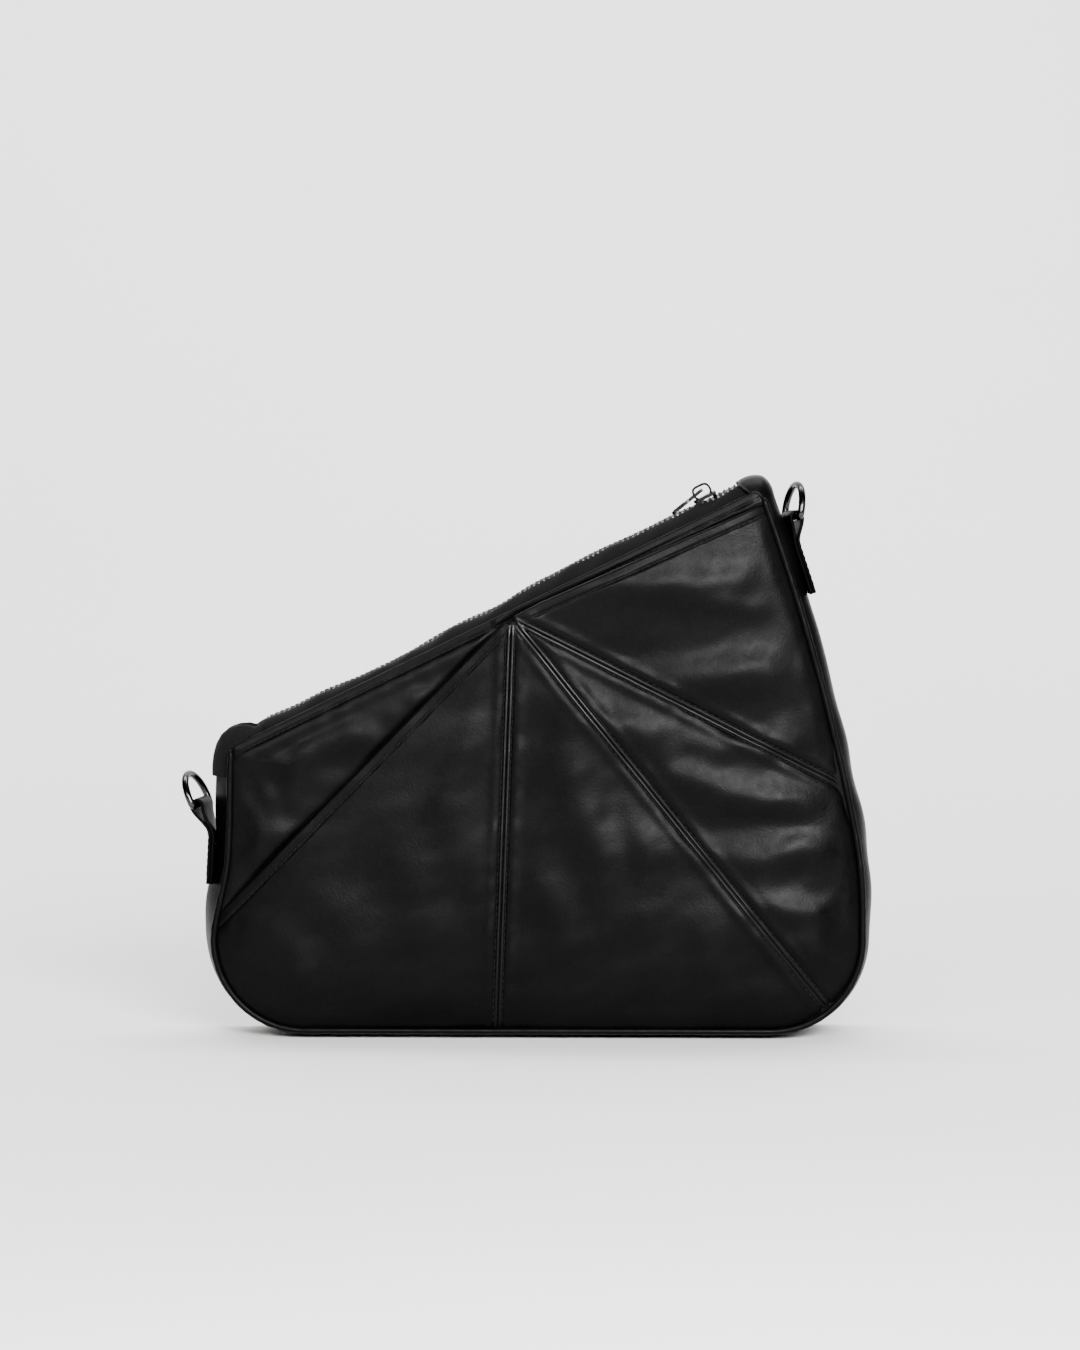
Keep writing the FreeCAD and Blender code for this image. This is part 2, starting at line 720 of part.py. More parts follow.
for item in doc.Objects:
    if "Invalid" in item.State or "Error" in item.State:
        raise RuntimeError(f"{item.Name} failed: {item.State}")
for node, thing in PARTS.items():
    if thing.Shape.isNull() or not thing.Shape.isValid() or thing.Shape.Volume <= 0:
        raise RuntimeError(f"{node} has no valid shape")

os.makedirs("parts", exist_ok=True)
for node, thing in PARTS.items():
    thing.Shape.exportStep(f"parts/{node}.step")
print(len(PARTS), "nodes written")
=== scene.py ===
import json
import math

import bpy
import numpy as np
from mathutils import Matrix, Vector


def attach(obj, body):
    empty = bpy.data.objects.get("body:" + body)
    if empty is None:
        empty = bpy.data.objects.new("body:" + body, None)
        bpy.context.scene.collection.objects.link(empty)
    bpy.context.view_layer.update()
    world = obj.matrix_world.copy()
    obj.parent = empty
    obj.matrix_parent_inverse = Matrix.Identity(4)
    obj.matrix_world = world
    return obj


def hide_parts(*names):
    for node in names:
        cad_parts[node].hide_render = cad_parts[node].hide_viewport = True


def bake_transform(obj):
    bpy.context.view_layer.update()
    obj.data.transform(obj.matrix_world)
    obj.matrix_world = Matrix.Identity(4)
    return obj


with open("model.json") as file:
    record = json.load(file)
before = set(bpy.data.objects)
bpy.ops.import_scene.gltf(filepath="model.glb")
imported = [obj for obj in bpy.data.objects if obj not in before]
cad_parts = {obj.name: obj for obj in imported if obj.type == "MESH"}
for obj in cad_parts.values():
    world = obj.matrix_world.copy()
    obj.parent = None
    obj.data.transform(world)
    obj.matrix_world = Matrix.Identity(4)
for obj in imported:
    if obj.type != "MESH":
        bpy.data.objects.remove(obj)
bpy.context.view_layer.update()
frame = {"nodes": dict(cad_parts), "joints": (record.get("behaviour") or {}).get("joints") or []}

# Lengths below are in millimetres, in the frame of the CAD parts, and turn into metres in new_mesh.
MM = 0.001
FRONT, BACK = -1, 1
SIDES = ((FRONT, "front"), (BACK, "back"))
PANEL_TILT = 2.5
LEATHER = 1.6

joints = {joint["name"]: joint for joint in frame["joints"]}
zip_axis = np.array(joints["zip_slide"]["axis"])
ALONG = np.array([zip_axis[0], zip_axis[2]])
UP = np.array([-zip_axis[2], zip_axis[0]])
pull_pos = np.array(joints["pull_turn"]["pos_m"]) / MM
PULL_RISE = 5.7
SLIDER_U = 228.0
slider_xz = pull_pos[[0, 2]] - UP * PULL_RISE
ZIP_START = slider_xz - ALONG * SLIDER_U
MOUTH_HINGE_Y = abs(joints["mouth_front_turn"]["pos_m"][1]) / MM
MOUTH_HINGE_DROP = 8.0
MOUTH_HALF = 12.5


# Noise and small helpers


def smooth(value, low, high):
    """A soft step from 0 at low to 1 at high."""
    t = np.clip((np.asarray(value, float) - low) / (high - low), 0, 1)
    return t * t * (3 - 2 * t)


def bell(value, centre, width):
    """A rounded bump of height 1."""
    return np.exp(-(((np.asarray(value, float) - centre) / width) ** 2))


def waves(x, z, seed, length, angle=0.0, spread=180.0, count=9):
    """Soft random relief of about unit height: plane waves near one direction, given in degrees."""
    rng = np.random.default_rng(seed)
    total = np.zeros(np.broadcast(x, z).shape)
    for _ in range(count):
        way = math.radians(angle + rng.uniform(-spread, spread) / 2)
        wave = 2 * math.pi / (length * rng.uniform(0.7, 1.5))
        phase = rng.uniform(0, 2 * math.pi)
        total += np.sin(wave * (x * math.cos(way) + z * math.sin(way)) + phase)
    return total / math.sqrt(count / 2)


def ripple(along, seed, length, count):
    """Soft random relief that changes in one direction only."""
    return waves(along, along * 0, seed, length, 0, 0, count)


def fold(x, z, start, end, width, height):
    """A soft crease or swelling along a line, which fades out at both ends."""
    start, end = np.array(start, float), np.array(end, float)
    span = end - start
    length = np.linalg.norm(span)
    way = span / length
    ahead = (x - start[0]) * way[0] + (z - start[1]) * way[1]
    aside = (x - start[0]) * way[1] - (z - start[1]) * way[0]
    aside = aside + width * 0.35 * np.sin(ahead / length * 5.0 + start[0])
    fade = smooth(ahead, -0.35 * length, 0.3 * length) * (1 - smooth(ahead, 0.7 * length, 1.35 * length))
    return height * bell(aside, 0, width) * fade


def folded(height, x, z, folds):
    """Relief with its folds added, one after another."""
    for start, end, width, crest in folds:
        height = height + fold(x, z, start, end, width, crest)
    return height


# Outline of the bag, walked from the top left corner, down, along the base and up the right

BASE_LEFT = -105.0
TOP_SLOPE = 25.0
# Arcs as radius and turn in degrees, and straight lines as 0 and their length
STEPS = [(10.0, 61.9), (0, 74.0), (0, 10.0), (45.0, 73.6), (45.0, 19.5), (0, 211.0), (45.0, 19.5)]
STEPS += [(45.0, 70.5), (0, 12.0), (200.0, 11.0), (1000.0, 8.45), (1000.0, 0.55), (8.0, 95.0)]
# Numbers of the steps where the strips and seams begin or end
LEFT_UPPER, BASE_START, BASE, RIGHT_CORNER, FLANK_UPPER, TOP_RIGHT = 1, 4, 5, 7, 11, 12


def inward_at(heading):
    """Unit normal to the left of a heading."""
    return np.array([-math.sin(heading), math.cos(heading)])


def walk(here, heading, radius, amount, part=1.0):
    """Point and heading after part of a step: an arc of so many degrees, or a line without a radius."""
    if not radius:
        return here + np.array([math.cos(heading), math.sin(heading)]) * amount * part, heading
    new_heading = heading + math.radians(amount) * part
    return here + (inward_at(heading) - inward_at(new_heading)) * radius, new_heading


def run_length(path):
    """Length from the start of a path to each of its points."""
    return np.concatenate([[0], np.cumsum(np.linalg.norm(np.diff(path, axis=0), axis=1))])


class Outline:
    """Points, inward normals, lengths and step numbers along the silhouette of the gusset."""

    def __init__(self, spacing):
        points, headings, steps, starts = [], [], [], []
        here, heading = np.zeros(2), math.radians(180 + TOP_SLOPE)
        for number, (radius, amount) in enumerate(STEPS):
            length = radius * math.radians(amount) if radius else amount
            count = max(2, math.ceil(length / spacing))
            starts.append(here)
            for k in range(count):
                point, along = walk(here, heading, radius, amount, k / count)
                points.append(point)
                headings.append(along)
                steps.append(number)
            here, heading = walk(here, heading, radius, amount)
        self.p = np.array([*points, here]) - starts[BASE] + np.array([BASE_LEFT, 0.0])
        self.n = np.array([inward_at(along) for along in [*headings, heading]])
        self.step = np.array([*steps, len(STEPS) - 1])
        self.s = run_length(self.p)

    def between(self, first, last):
        """Indexes of the samples from the start of one step to the end of another."""
        found = np.flatnonzero((self.step >= first) & (self.step <= last))
        return np.append(found, min(found[-1] + 1, len(self.p) - 1))

    def inset(self, amount, picked=slice(None)):
        amount = np.broadcast_to(np.asarray(amount, float), self.s[picked].shape)
        return self.p[picked] + self.n[picked] * amount[:, None]


OUT = Outline(1.3)


def edge_inset(p):
    """How far the piped seam lies inside the silhouette. It is pulled in on the upper left."""
    left = p[:, 0] < -60
    pull = 4.6 * smooth(p[:, 1], 44, 84) * (1 - 0.25 * smooth(p[:, 1], 90, 128))
    return 3.5 + np.where(left, pull, 0.0)


def panel_point(side, x, z, out):
    """A point on the front or back plane, moved out from the leather's inner face."""
    x, z, out = np.broadcast_arrays(x, z, out)
    rx, rz = x - ZIP_START[0], z - ZIP_START[1]
    along = rx * ALONG[0] + rz * ALONG[1]
    up = rx * UP[0] + rz * UP[1]
    lean = math.radians(side * PANEL_TILT)
    v = side * out * math.cos(lean) - up * math.sin(lean)
    u = side * out * math.sin(lean) + up * math.cos(lean)
    flat = ZIP_START + along[..., None] * ALONG + u[..., None] * UP
    return np.stack([flat[..., 0], side * MOUTH_HALF + v, flat[..., 1]], axis=-1)


def between_panels(flat, share, out):
    """A point between the front and back planes: share is -1 at the front and 1 at the back."""
    front = panel_point(FRONT, *flat.T, out)
    back = panel_point(BACK, *flat.T, out)
    return front + (back - front) * (share + 1) / 2


# Mesh helpers


def new_object(name, data):
    thing = bpy.data.objects.new(name, data)
    bpy.context.scene.collection.objects.link(thing)
    return thing


def surface_object(name, points, faces, material, smooth_shading=True):
    """An object of points in metres and faces."""
    mesh = bpy.data.meshes.new(name)
    mesh.from_pydata(points, [], faces)
    mesh.validate()
    mesh.polygons.foreach_set("use_smooth", [smooth_shading] * len(mesh.polygons))
    mesh.materials.append(material)
    return new_object(name, mesh)


def new_mesh(name, shape, material, body="bag", smooth_shading=True, replaced=()):
    """A piece in the frame: points in millimetres and faces, riding on a CAD body."""
    points, faces = shape
    metres = (np.asarray(points) * MM).tolist()
    piece = surface_object(name, metres, [tuple(f) for f in faces], material, smooth_shading)
    if body:
        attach(piece, body)
    if replaced:
        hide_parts(*replaced)
    return piece


def grid_faces(rows, cols):
    """Quads of a grid of rows of points, each row closed into a loop."""
    r, c = np.meshgrid(np.arange(rows - 1), np.arange(cols), indexing="ij")
    nxt = (c + 1) % cols
    quads = np.stack([r * cols + c, r * cols + nxt, (r + 1) * cols + nxt, (r + 1) * cols + c], axis=-1)
    return quads.reshape(-1, 4).tolist()


def loft(loops):
    """A closed solid through a stack of closed loops, with a face on each end."""
    loops = np.asarray(loops)
    rows, cols = loops.shape[:2]
    faces = grid_faces(rows, cols)
    faces.append(list(range(cols))[::-1])
    faces.append(list(range((rows - 1) * cols, rows * cols)))
    return loops.reshape(-1, 3), faces


def sheet(outer, inner):
    """A closed strip between two faces, each a list of lines of points in the same order."""
    return loft(np.stack([*outer, *inner[::-1]], axis=1))


def join(parts):
    """Several (points, faces) as one."""
    points, faces, base = [], [], 0
    for p, f in parts:
        points.append(np.asarray(p))
        faces += [[i + base for i in face] for face in f]
        base += len(p)
    return np.vstack(points), faces


def turned(a, b, angle):
    """A pair of coordinates turned from the first axis to the second, in radians."""
    return a * np.cos(angle) - b * np.sin(angle), a * np.sin(angle) + b * np.cos(angle)


def unit(v):
    return v / np.maximum(np.linalg.norm(v, axis=-1, keepdims=True), 1e-9)


def tube(path, radius, sides=14, ring=None, closed=False, flat_normal=None):
    """A rod along a path of points. The radius may change from point to point."""
    path = np.asarray(path, float)
    if closed:
        tangent = unit(np.roll(path, -1, axis=0) - np.roll(path, 1, axis=0))
    else:
        tangent = unit(np.gradient(path, axis=0))
    guide = np.array([0.0, 1.0, 0.0]) if flat_normal is None else np.asarray(flat_normal, float)
    normal = unit(guide - tangent * (tangent @ guide)[:, None])
    across = np.cross(tangent, normal)
    radius = np.broadcast_to(np.asarray(radius, float), (len(path),))
    angle = np.linspace(0, 2 * math.pi, sides, endpoint=False)
    shape = np.stack([np.cos(angle), np.sin(angle)], axis=-1) if ring is None else np.asarray(ring)
    loops = path[:, None] + radius[:, None, None] * (
        shape[None, :, :1] * normal[:, None] + shape[None, :, 1:] * across[:, None]
    )
    if closed:
        rows, cols = loops.shape[:2]
        count = rows * cols
        return loops.reshape(-1, 3), [[i % count for i in face] for face in grid_faces(rows + 1, cols)]
    return loft(loops)


# Materials


class Nodes:
    """A new material and short ways to add nodes to it."""

    def __init__(self, name, **sockets):
        self.material = bpy.data.materials.new(name)
        self.material.use_nodes = True
        self.tree = self.material.node_tree
        self.shader = self.tree.nodes["Principled BSDF"]
        for key, value in sockets.items():
            self.shader.inputs[key.replace("_", " ")].default_value = value
        self.place = self.add("ShaderNodeTexCoord").outputs["Object"]

    def add(self, kind, **settings):
        node = self.tree.nodes.new(kind)
        for key, value in settings.items():
            if key in node.inputs:
                node.inputs[key].default_value = value
            else:
                setattr(node, key, value)
        return node

    def link(self, source, target):
        self.tree.links.new(source, target)

    def noise(self, scale, detail, stretch=None):
        node = self.add("ShaderNodeTexNoise", Scale=scale, Detail=detail)
        self.link(self.mapped(stretch), node.inputs["Vector"])
        return node.outputs["Fac"]

    def cells(self, scale, feature="F1"):
        node = self.add("ShaderNodeTexVoronoi", Scale=scale, feature=feature)
        self.link(self.place, node.inputs["Vector"])
        return node.outputs["Distance"]

    def mapped(self, stretch):
        """The object's coordinates, scaled and then turned about Y if a fourth number is given."""
        if stretch is None:
            return self.place
        node = self.add("ShaderNodeMapping", Scale=stretch[:3])
        if len(stretch) > 3:
            node.inputs["Rotation"].default_value = (0, stretch[3], 0)
        self.link(self.place, node.inputs["Vector"])
        return node.outputs["Vector"]

    def spread(self, source, low, high, from_low=0.3, from_high=0.7):
        values = {"From Min": from_low, "From Max": from_high, "To Min": low, "To Max": high}
        node = self.add("ShaderNodeMapRange", **values)
        self.link(source, node.inputs["Value"])
        return node.outputs["Result"]

    def ramp(self, source, stops):
        node = self.add("ShaderNodeValToRGB")
        elements = node.color_ramp.elements
        while len(elements) < len(stops):
            elements.new(0.5)
        for element, (position, color) in zip(elements, stops):
            element.position = position
            element.color = (*color, 1)
        self.link(source, node.inputs["Fac"])
        return node.outputs["Color"]

    def colour(self, source, stops):
        self.link(self.ramp(source, stops), self.shader.inputs["Base Color"])

    def bands(self, scale, distortion, direction, stretch=None):
        node = self.add("ShaderNodeTexWave", Scale=scale, Distortion=distortion, bands_direction=direction)
        self.link(self.mapped(stretch), node.inputs["Vector"])
        return node.outputs["Fac"]

    def combined(self, operation, first, second):
        node = self.add("ShaderNodeMath", operation=operation)
        self.link(first, node.inputs[0])
        self.link(second, node.inputs[1])
        return node.outputs[0]

    def bump(self, heights):
        """Stack of (height source, depth in metres) as bump nodes."""
        previous = None
        for source, depth in heights:
            node = self.add("ShaderNodeBump", Strength=1.0, Distance=depth)
            self.link(source, node.inputs["Height"])
            if previous is not None:
                self.link(previous, node.inputs["Normal"])
            previous = node.outputs["Normal"]
        self.link(previous, self.shader.inputs["Normal"])


def leather_material(name, tone=1.0, grain=1.0, shine=0.059):
    """Smooth black nappa: fine pebbled grain, faint creases, cloudy gloss."""
    n = Nodes(name)
    rub = n.add("ShaderNodeAttribute", attribute_name="rub").outputs["Fac"]
    n.link(n.spread(rub, shine, 0.30, 0.0, 1.0), n.shader.inputs["Specular IOR Level"])
    cloud = n.noise(22, 3)
    dark = (0.0003 * tone, 0.0003 * tone, 0.00036 * tone)
    light = (0.0010 * tone, 0.0009 * tone, 0.0012 * tone)
    n.colour(cloud, [(0.3, dark), (0.72, light)])
    gloss = n.combined("ADD", n.spread(cloud, 0.34, 0.43), n.spread(n.noise(260, 4), -0.03, 0.05))
    n.link(gloss, n.shader.inputs["Roughness"])
    pebbles = n.cells(950)
    creases = n.cells(310, "DISTANCE_TO_EDGE")
    crease_depth = n.spread(creases, 0.0, 1.0, 0.0, 0.12)
    n.bump([(n.noise(55, 3), 0.0002), (crease_depth, 0.000012 * grain), (pebbles, 0.00003 * grain)])
    return n.material


def lining_material():
    """Fine black twill."""
    n = Nodes("lining_twill", Roughness=0.82, Specular_IOR_Level=0.2, Sheen_Weight=0.25, Sheen_Roughness=0.5)
    twill = n.bands(420.0, 0.6, "DIAGONAL")
    n.colour(twill, [(0.2, (0.010, 0.010, 0.011)), (0.8, (0.028, 0.027, 0.030))])
    n.bump([(n.noise(70, 3), 0.0004), (twill, 0.00008)])
    return n.material


def tape_material():
    """Matt woven zip tape, with ribs along the zip."""
    n = Nodes("woven_tape", Roughness=0.9, Specular_IOR_Level=0.05, Sheen_Weight=0.03, Sheen_Roughness=0.5)
    along_zip = (1, 1, 1, -math.atan2(ALONG[1], ALONG[0]))
    weave = n.combined("MULTIPLY", n.bands(330.0, 0.4, "X", along_zip), n.bands(460.0, 0.4, "Z", along_zip))
    n.colour(weave, [(0.05, (0.0016, 0.0016, 0.0018)), (0.7, (0.007, 0.007, 0.0075))])
    n.bump([(n.noise(90, 3), 0.00025), (weave, 0.00009)])
    return n.material


def thread_material():
    """Black polyester thread with its twist."""
    n = Nodes("black_thread", Roughness=0.6, Specular_IOR_Level=0.14)
    twist = n.bands(1600.0, 1.0, "DIAGONAL")
    n.colour(twist, [(0.2, (0.0012, 0.0012, 0.0013)), (0.9, (0.006, 0.006, 0.0063))])
    n.bump([(twist, 0.00005)])
    return n.material


def metal_material(name, low, high, gloss, edge=0.2):
    """Polished black nickel, with faint tarnish and hairline scratches."""
    n = Nodes(name, Metallic=1.0, Specular_Tint=(edge, edge, edge, 1.0))
    cloud = n.noise(140, 4)
    n.colour(cloud, [(0.3, low), (0.75, high)])
    scratches = n.noise(900, 2, (1, 6, 1))
    roughness = n.combined("ADD", n.spread(cloud, gloss, gloss + 0.07), n.spread(scratches, 0.0, 0.05))
    n.link(roughness, n.shader.inputs["Roughness"])
    n.bump([(scratches, 0.000006), (cloud, 0.00003)])
    return n.material


def board_material():
    """Grey pressed fibre board."""
    n = Nodes("fibre_board", Roughness=0.9, Specular_IOR_Level=0.2)
    fibres = n.noise(500, 5, (1, 3, 1))
    n.colour(fibres, [(0.3, (0.05, 0.048, 0.045)), (0.7, (0.11, 0.105, 0.098))])
    n.bump([(fibres, 0.0001)])
    return n.material


def paper_material():
    """Pale seamless paper."""
    n = Nodes("seamless_paper", Roughness=0.85, Specular_IOR_Level=0.15)
    n.colour(n.noise(3, 2), [(0.3, (0.755, 0.755, 0.745)), (0.7, (0.785, 0.785, 0.775))])
    n.bump([(n.noise(400, 3), 0.00004)])
    return n.material


LEATHER_SKIN = leather_material("nappa_leather")
PIPING_SKIN = leather_material("nappa_piping", 1.15, 0.6)
TAB_SKIN = leather_material("nappa_tab", 1.05, 0.8, 0.025)
TWILL = lining_material()
TAPE = tape_material()
THREAD = thread_material()
METAL = metal_material("black_nickel", (0.014, 0.014, 0.015), (0.034, 0.032, 0.034), 0.16)
RING_METAL = metal_material("black_nickel_rings", (0.03, 0.03, 0.031), (0.06, 0.058, 0.06), 0.12, 0.8)
TEETH = metal_material("black_nickel_teeth", (0.07, 0.07, 0.072), (0.16, 0.157, 0.16), 0.28)
BOARD = board_material()


# Front overlay: four wedges fanned out from an apex, with double-stitched seams

APEX = np.array([-11.3, 191.0])
FOLD_ENDS = np.array([[-141.5, 57.7], [100.4, 240.3]])
SEAM_ENDS = np.array([[-17.8, 6.0], [131.5, 14.5], [136.2, 116.5]])
PANEL_EDGE = 1.3
OVERLAY = 1.4
# Distances from a seam to the middle of its welts and to its stitches, and from a fold to its stitches
WELT, ROW, FOLD_ROW = 0.9, 2.0, 3.4


def polar_angle(dx, dz):
    """Angle about the apex in degrees, counted so that the overlay's range has no jump."""
    angle = np.degrees(np.arctan2(dz, dx)) % 360
    return angle + np.where(angle < 90, 360, 0)


def beside_arm(dx, dz, arm):
    """How far points lie ahead along an arm from the apex, and to its side."""
    return dx * arm[0] + dz * arm[1], dx * arm[1] - dz * arm[0]


overlay_run = OUT.between(LEFT_UPPER, FLANK_UPPER)
overlay_rim = OUT.inset(edge_inset(OUT.p[overlay_run]) + PANEL_EDGE, overlay_run)
rim_arm = overlay_rim - APEX
rim_angle = polar_angle(*rim_arm.T)
rim_reach = np.linalg.norm(rim_arm, axis=1)
rim_square = np.abs(np.sum(unit(rim_arm) * OUT.n[overlay_run], axis=1))
fold_arm = unit(FOLD_ENDS - APEX)
ANGLE_LEFT, ANGLE_RIGHT = polar_angle(*fold_arm.T)
seam_arm = unit(SEAM_ENDS - APEX)
seam_angle = polar_angle(*seam_arm.T)
fold_end = APEX + fold_arm * np.interp([ANGLE_LEFT, ANGLE_RIGHT], rim_angle, rim_reach)[:, None]


def seam_profile(q, pucker):
    """Height across a seam that is pressed open and top-stitched on both sides."""
    a = np.abs(q)
    groove = -0.50 * bell(a, 0, 0.22)
    welt = (0.25 + 0.42 * (1 - ((a - WELT) / 0.85) ** 2)) * (1 - smooth(a, 1.5, 1.85))
    rows = -(0.42 + 0.10 * pucker) * bell(a, ROW, 0.36)
    shoulder = 0.50 * bell(a, 4.6, 2.4) * (1 + 0.18 * pucker)
    return groove + welt + rows + shoulder


# Folds of the overlay: from, to, width and height
FOLDS = [
    ((0, 196), (92, 212), 9, 2.2),
    ((28, 176), (112, 186), 9, -1.5),
    ((48, 163), (120, 163), 9, 2.2),
    ((70, 196), (104, 199), 5, 0.8),
    ((10, 158), (56, 128), 10, 2.4),
    ((66, 138), (122, 132), 7, 1.2),
    ((58, 116), (128, 110), 8, 1.7),
    ((74, 98), (128, 96), 6, -1.0),
    ((72, 84), (132, 86), 8, 1.8),
    ((96, 62), (136, 60), 7, 1.4),
    ((112, 42), (138, 34), 7, 0.9),
    ((82, 54), (138, 44), 19, 2.6),
    ((16, 150), (30, 60), 12, 1.8),
    ((44, 100), (52, 46), 10, 1.2),
    ((36, 112), (40, 62), 7, -0.8),
    ((4, 84), (12, 34), 9, 0.8),
    ((70, 52), (86, 30), 9, 0.9),
    ((-30, 150), (-38, 92), 10, 1.4),
    ((-60, 112), (-58, 56), 12, 1.0),
    ((-22, 92), (-26, 40), 8, 0.8),
    ((-96, 74), (-84, 30), 12, 0.8),
    ((-120, 52), (-104, 22), 9, 0.8),
]


def overlay_out(x, z):
    """Height of the overlay's outer face over the front plane."""
    dx, dz = x - APEX[0], z - APEX[1]
    reach = np.hypot(dx, dz)
    angle = polar_angle(dx, dz)
    full = np.interp(angle, rim_angle, rim_reach)
    square = np.interp(angle, rim_angle, rim_square)
    to_rim = np.maximum(full - reach, 0) * square
    folds = []
    for arm in fold_arm:
        ahead, q = beside_arm(dx, dz, arm)
        folds.append(np.where(ahead > 0, np.abs(q), reach))
    to_fold = np.minimum(folds[0], folds[1])
    height = 1.3 + 7.0 * (1 - np.exp(-to_rim / 13)) * (1 - 0.22 * np.exp(-to_fold / 24))
    height += 0.3 * bell(to_rim, 5, 4.0) * (1 + 0.4 * waves(x, z, 71, 16))
    for number, (arm, valley) in enumerate(zip(seam_arm, (1.0, 2.0, 2.8))):
        ahead, q = beside_arm(dx, dz, arm)
        pucker = ripple(ahead, 31 + number, 11, 7) * 0.55
        near = smooth(ahead, 2, 9)
        height += near * seam_profile(q, pucker)
        # The leather rises softly away from each seam
        height -= valley * near * np.exp(-((np.abs(q) / 15) ** 1.3)) * smooth(ahead, 0, 60)
    # Stitched fold along the two upper edges
    for number, distance in enumerate(folds):
        pucker = ripple(reach, 51 + number, 12, 7) * 0.5
        height -= (0.45 + 0.15 * pucker) * bell(distance, FOLD_ROW, 0.7) * smooth(reach, 6, 14)
    soft = 0.22 * waves(x, z, 13, 38, 100, 90) + 0.07 * waves(x, z, 14, 14, 90, 150)
    return height + smooth(to_rim, 2, 22) * folded(soft, x, z, FOLDS)


def overlay_point(x, z, under=0.0):
    return panel_point(FRONT, x, z, overlay_out(x, z) - under)


def overlay_rays():
    """Angles of the overlay's grid lines: even, with more beside the seams and the two folds."""
    even = np.arange(ANGLE_LEFT, ANGLE_RIGHT, 0.42)
    offsets = np.array([0, 0.2, 0.4, 0.7, 1.0, 1.3, 1.55, 1.8, 2.0, 2.2, 2.5, 2.9, 3.5, 4.3, 5.3, 6.5])
    beside = np.degrees(offsets / 125.0)
    rays = [even, [ANGLE_LEFT, ANGLE_RIGHT], ANGLE_LEFT + beside, ANGLE_RIGHT - beside]
    for angle in seam_angle:
        rays += [angle + beside, angle - beside]
    rays = np.unique(np.round(np.concatenate(rays), 4))
    kept = [rays[0]]
    for ray in rays[1:]:
        if ray - kept[-1] > 0.06:
            kept.append(ray)
    kept[-1] = ANGLE_RIGHT
    return np.array(kept)


def build_overlay():
    """One flattened loop per radius: outer face, right fold, inner face, left fold."""
    rays = overlay_rays()
    reach = np.interp(rays, rim_angle, rim_reach)
    way = np.stack([np.cos(np.radians(rays)), np.sin(np.radians(rays))], axis=-1)
    inner_pick = np.unique(np.append(np.arange(0, len(rays), 5), len(rays) - 1))
    near_rim = 1 - np.array([0.003, 0.007, 0.013, 0.02, 0.03])
    shares = np.unique(np.concatenate([np.linspace(0.012, 1, 120), near_rim]))
    fold_round = 1.25
    turns = np.radians([25, 55, 90, 125, 155])
    loops = []
    for share in shares:
        flat = APEX + way * (reach * share)[:, None]
        outer = overlay_point(*flat.T)
        inner_flat = flat[inner_pick][::-1]
        inner = overlay_point(*inner_flat.T, OVERLAY + 0.6)
        rounded = []
        for end, sense in ((-1, 1), (0, -1)):
            ray, spot = way[end], flat[end]
            beyond = sense * np.array([-ray[1], ray[0]])
            lump = fold_round * min(1.0, 0.25 + share * 6)
            edge_height = overlay_out(spot[0], spot[1])
            order = turns if end == -1 else turns[::-1]
            rim = []
            for t in order:
                height = edge_height - lump + lump * math.cos(t)
                rim.append(panel_point(FRONT, *(spot + beyond * lump * math.sin(t)), height))
            rounded.append(np.array(rim))
        loops.append(np.vstack([outer, rounded[0], inner, rounded[1]]))
    points, faces = loft(loops)
    names = ["overlay_left", "overlay_middle", "overlay_right", "overlay_top", "overlay_allowance"]
    piece = new_mesh("overlay_leather", (points, faces), LEATHER_SKIN, replaced=names)
    # The raised edges of the seams are rubbed to a higher gloss
    rub = np.zeros(len(points))
    dx, dz = points[:, 0] - APEX[0], points[:, 2] - APEX[1]
    for arm in seam_arm:
        ahead, q = beside_arm(dx, dz, arm)
        fade = 0.35 + 0.65 * bell(ahead, 0, 85)
        rub = np.maximum(rub, (ahead > 0) * fade * bell(np.abs(q), WELT, 0.5))
    piece.data.attributes.new("rub", "FLOAT", "POINT").data.foreach_set("value", rub.astype(np.float32))


# Stitches

STITCH_PITCH, STITCH_LENGTH, STITCH_LIFT, THREAD_RADIUS = 3.0, 2.25, 0.06, 0.26


def stitch(middle, way, across, outwards, length, profile, bow=0.0):
    """One stitch: a small capsule along its way, bowed outwards."""
    angle = np.linspace(0, 2 * math.pi, 7, endpoint=False)[:, None]
    rings = []
    for place, size in profile:
        centre = middle + outwards * bow * (1 - (2 * place) ** 2) + way * place * length
        rings.append(centre + THREAD_RADIUS * size * (np.cos(angle) * across + np.sin(angle) * outwards))
    return loft(rings)


def stitch_row(surface, start, end, slant=6.0):
    """Stitches along a straight line of a surface, each turned a little off the line."""
    span = np.linalg.norm(end - start)
    way = (end - start) / span
    side = np.array([-way[1], way[0]])
    count = int(span / STITCH_PITCH)
    middles = start + way * ((np.arange(count) + 0.5) * span / count)[:, None]
    turn = math.radians(slant)
    lay = way * math.cos(turn) + side * math.sin(turn)
    here = surface(*middles.T)
    ahead = surface(*(middles + lay * 0.5).T)
    aside = surface(*(middles + np.array([-lay[1], lay[0]]) * 0.5).T)
    tangent, across = unit(ahead - here), unit(aside - here)
    normal = unit(np.cross(tangent, across))
    outwards = np.sign(normal[:, 1:2] * here[:, 1:2])
    normal = normal * np.where(outwards == 0, 1, outwards)
    profile = [(-0.5, 0.35), (-0.40, 0.85), (-0.15, 1.0), (0.15, 1.0), (0.40, 0.85), (0.5, 0.35)]
    middles = here + normal * STITCH_LIFT
    parts = []
    for place, t, a, n in zip(middles, tangent, across, normal):
        parts.append(stitch(place, t, a, n, STITCH_LENGTH, profile, THREAD_RADIUS / 2))
    return join(parts)


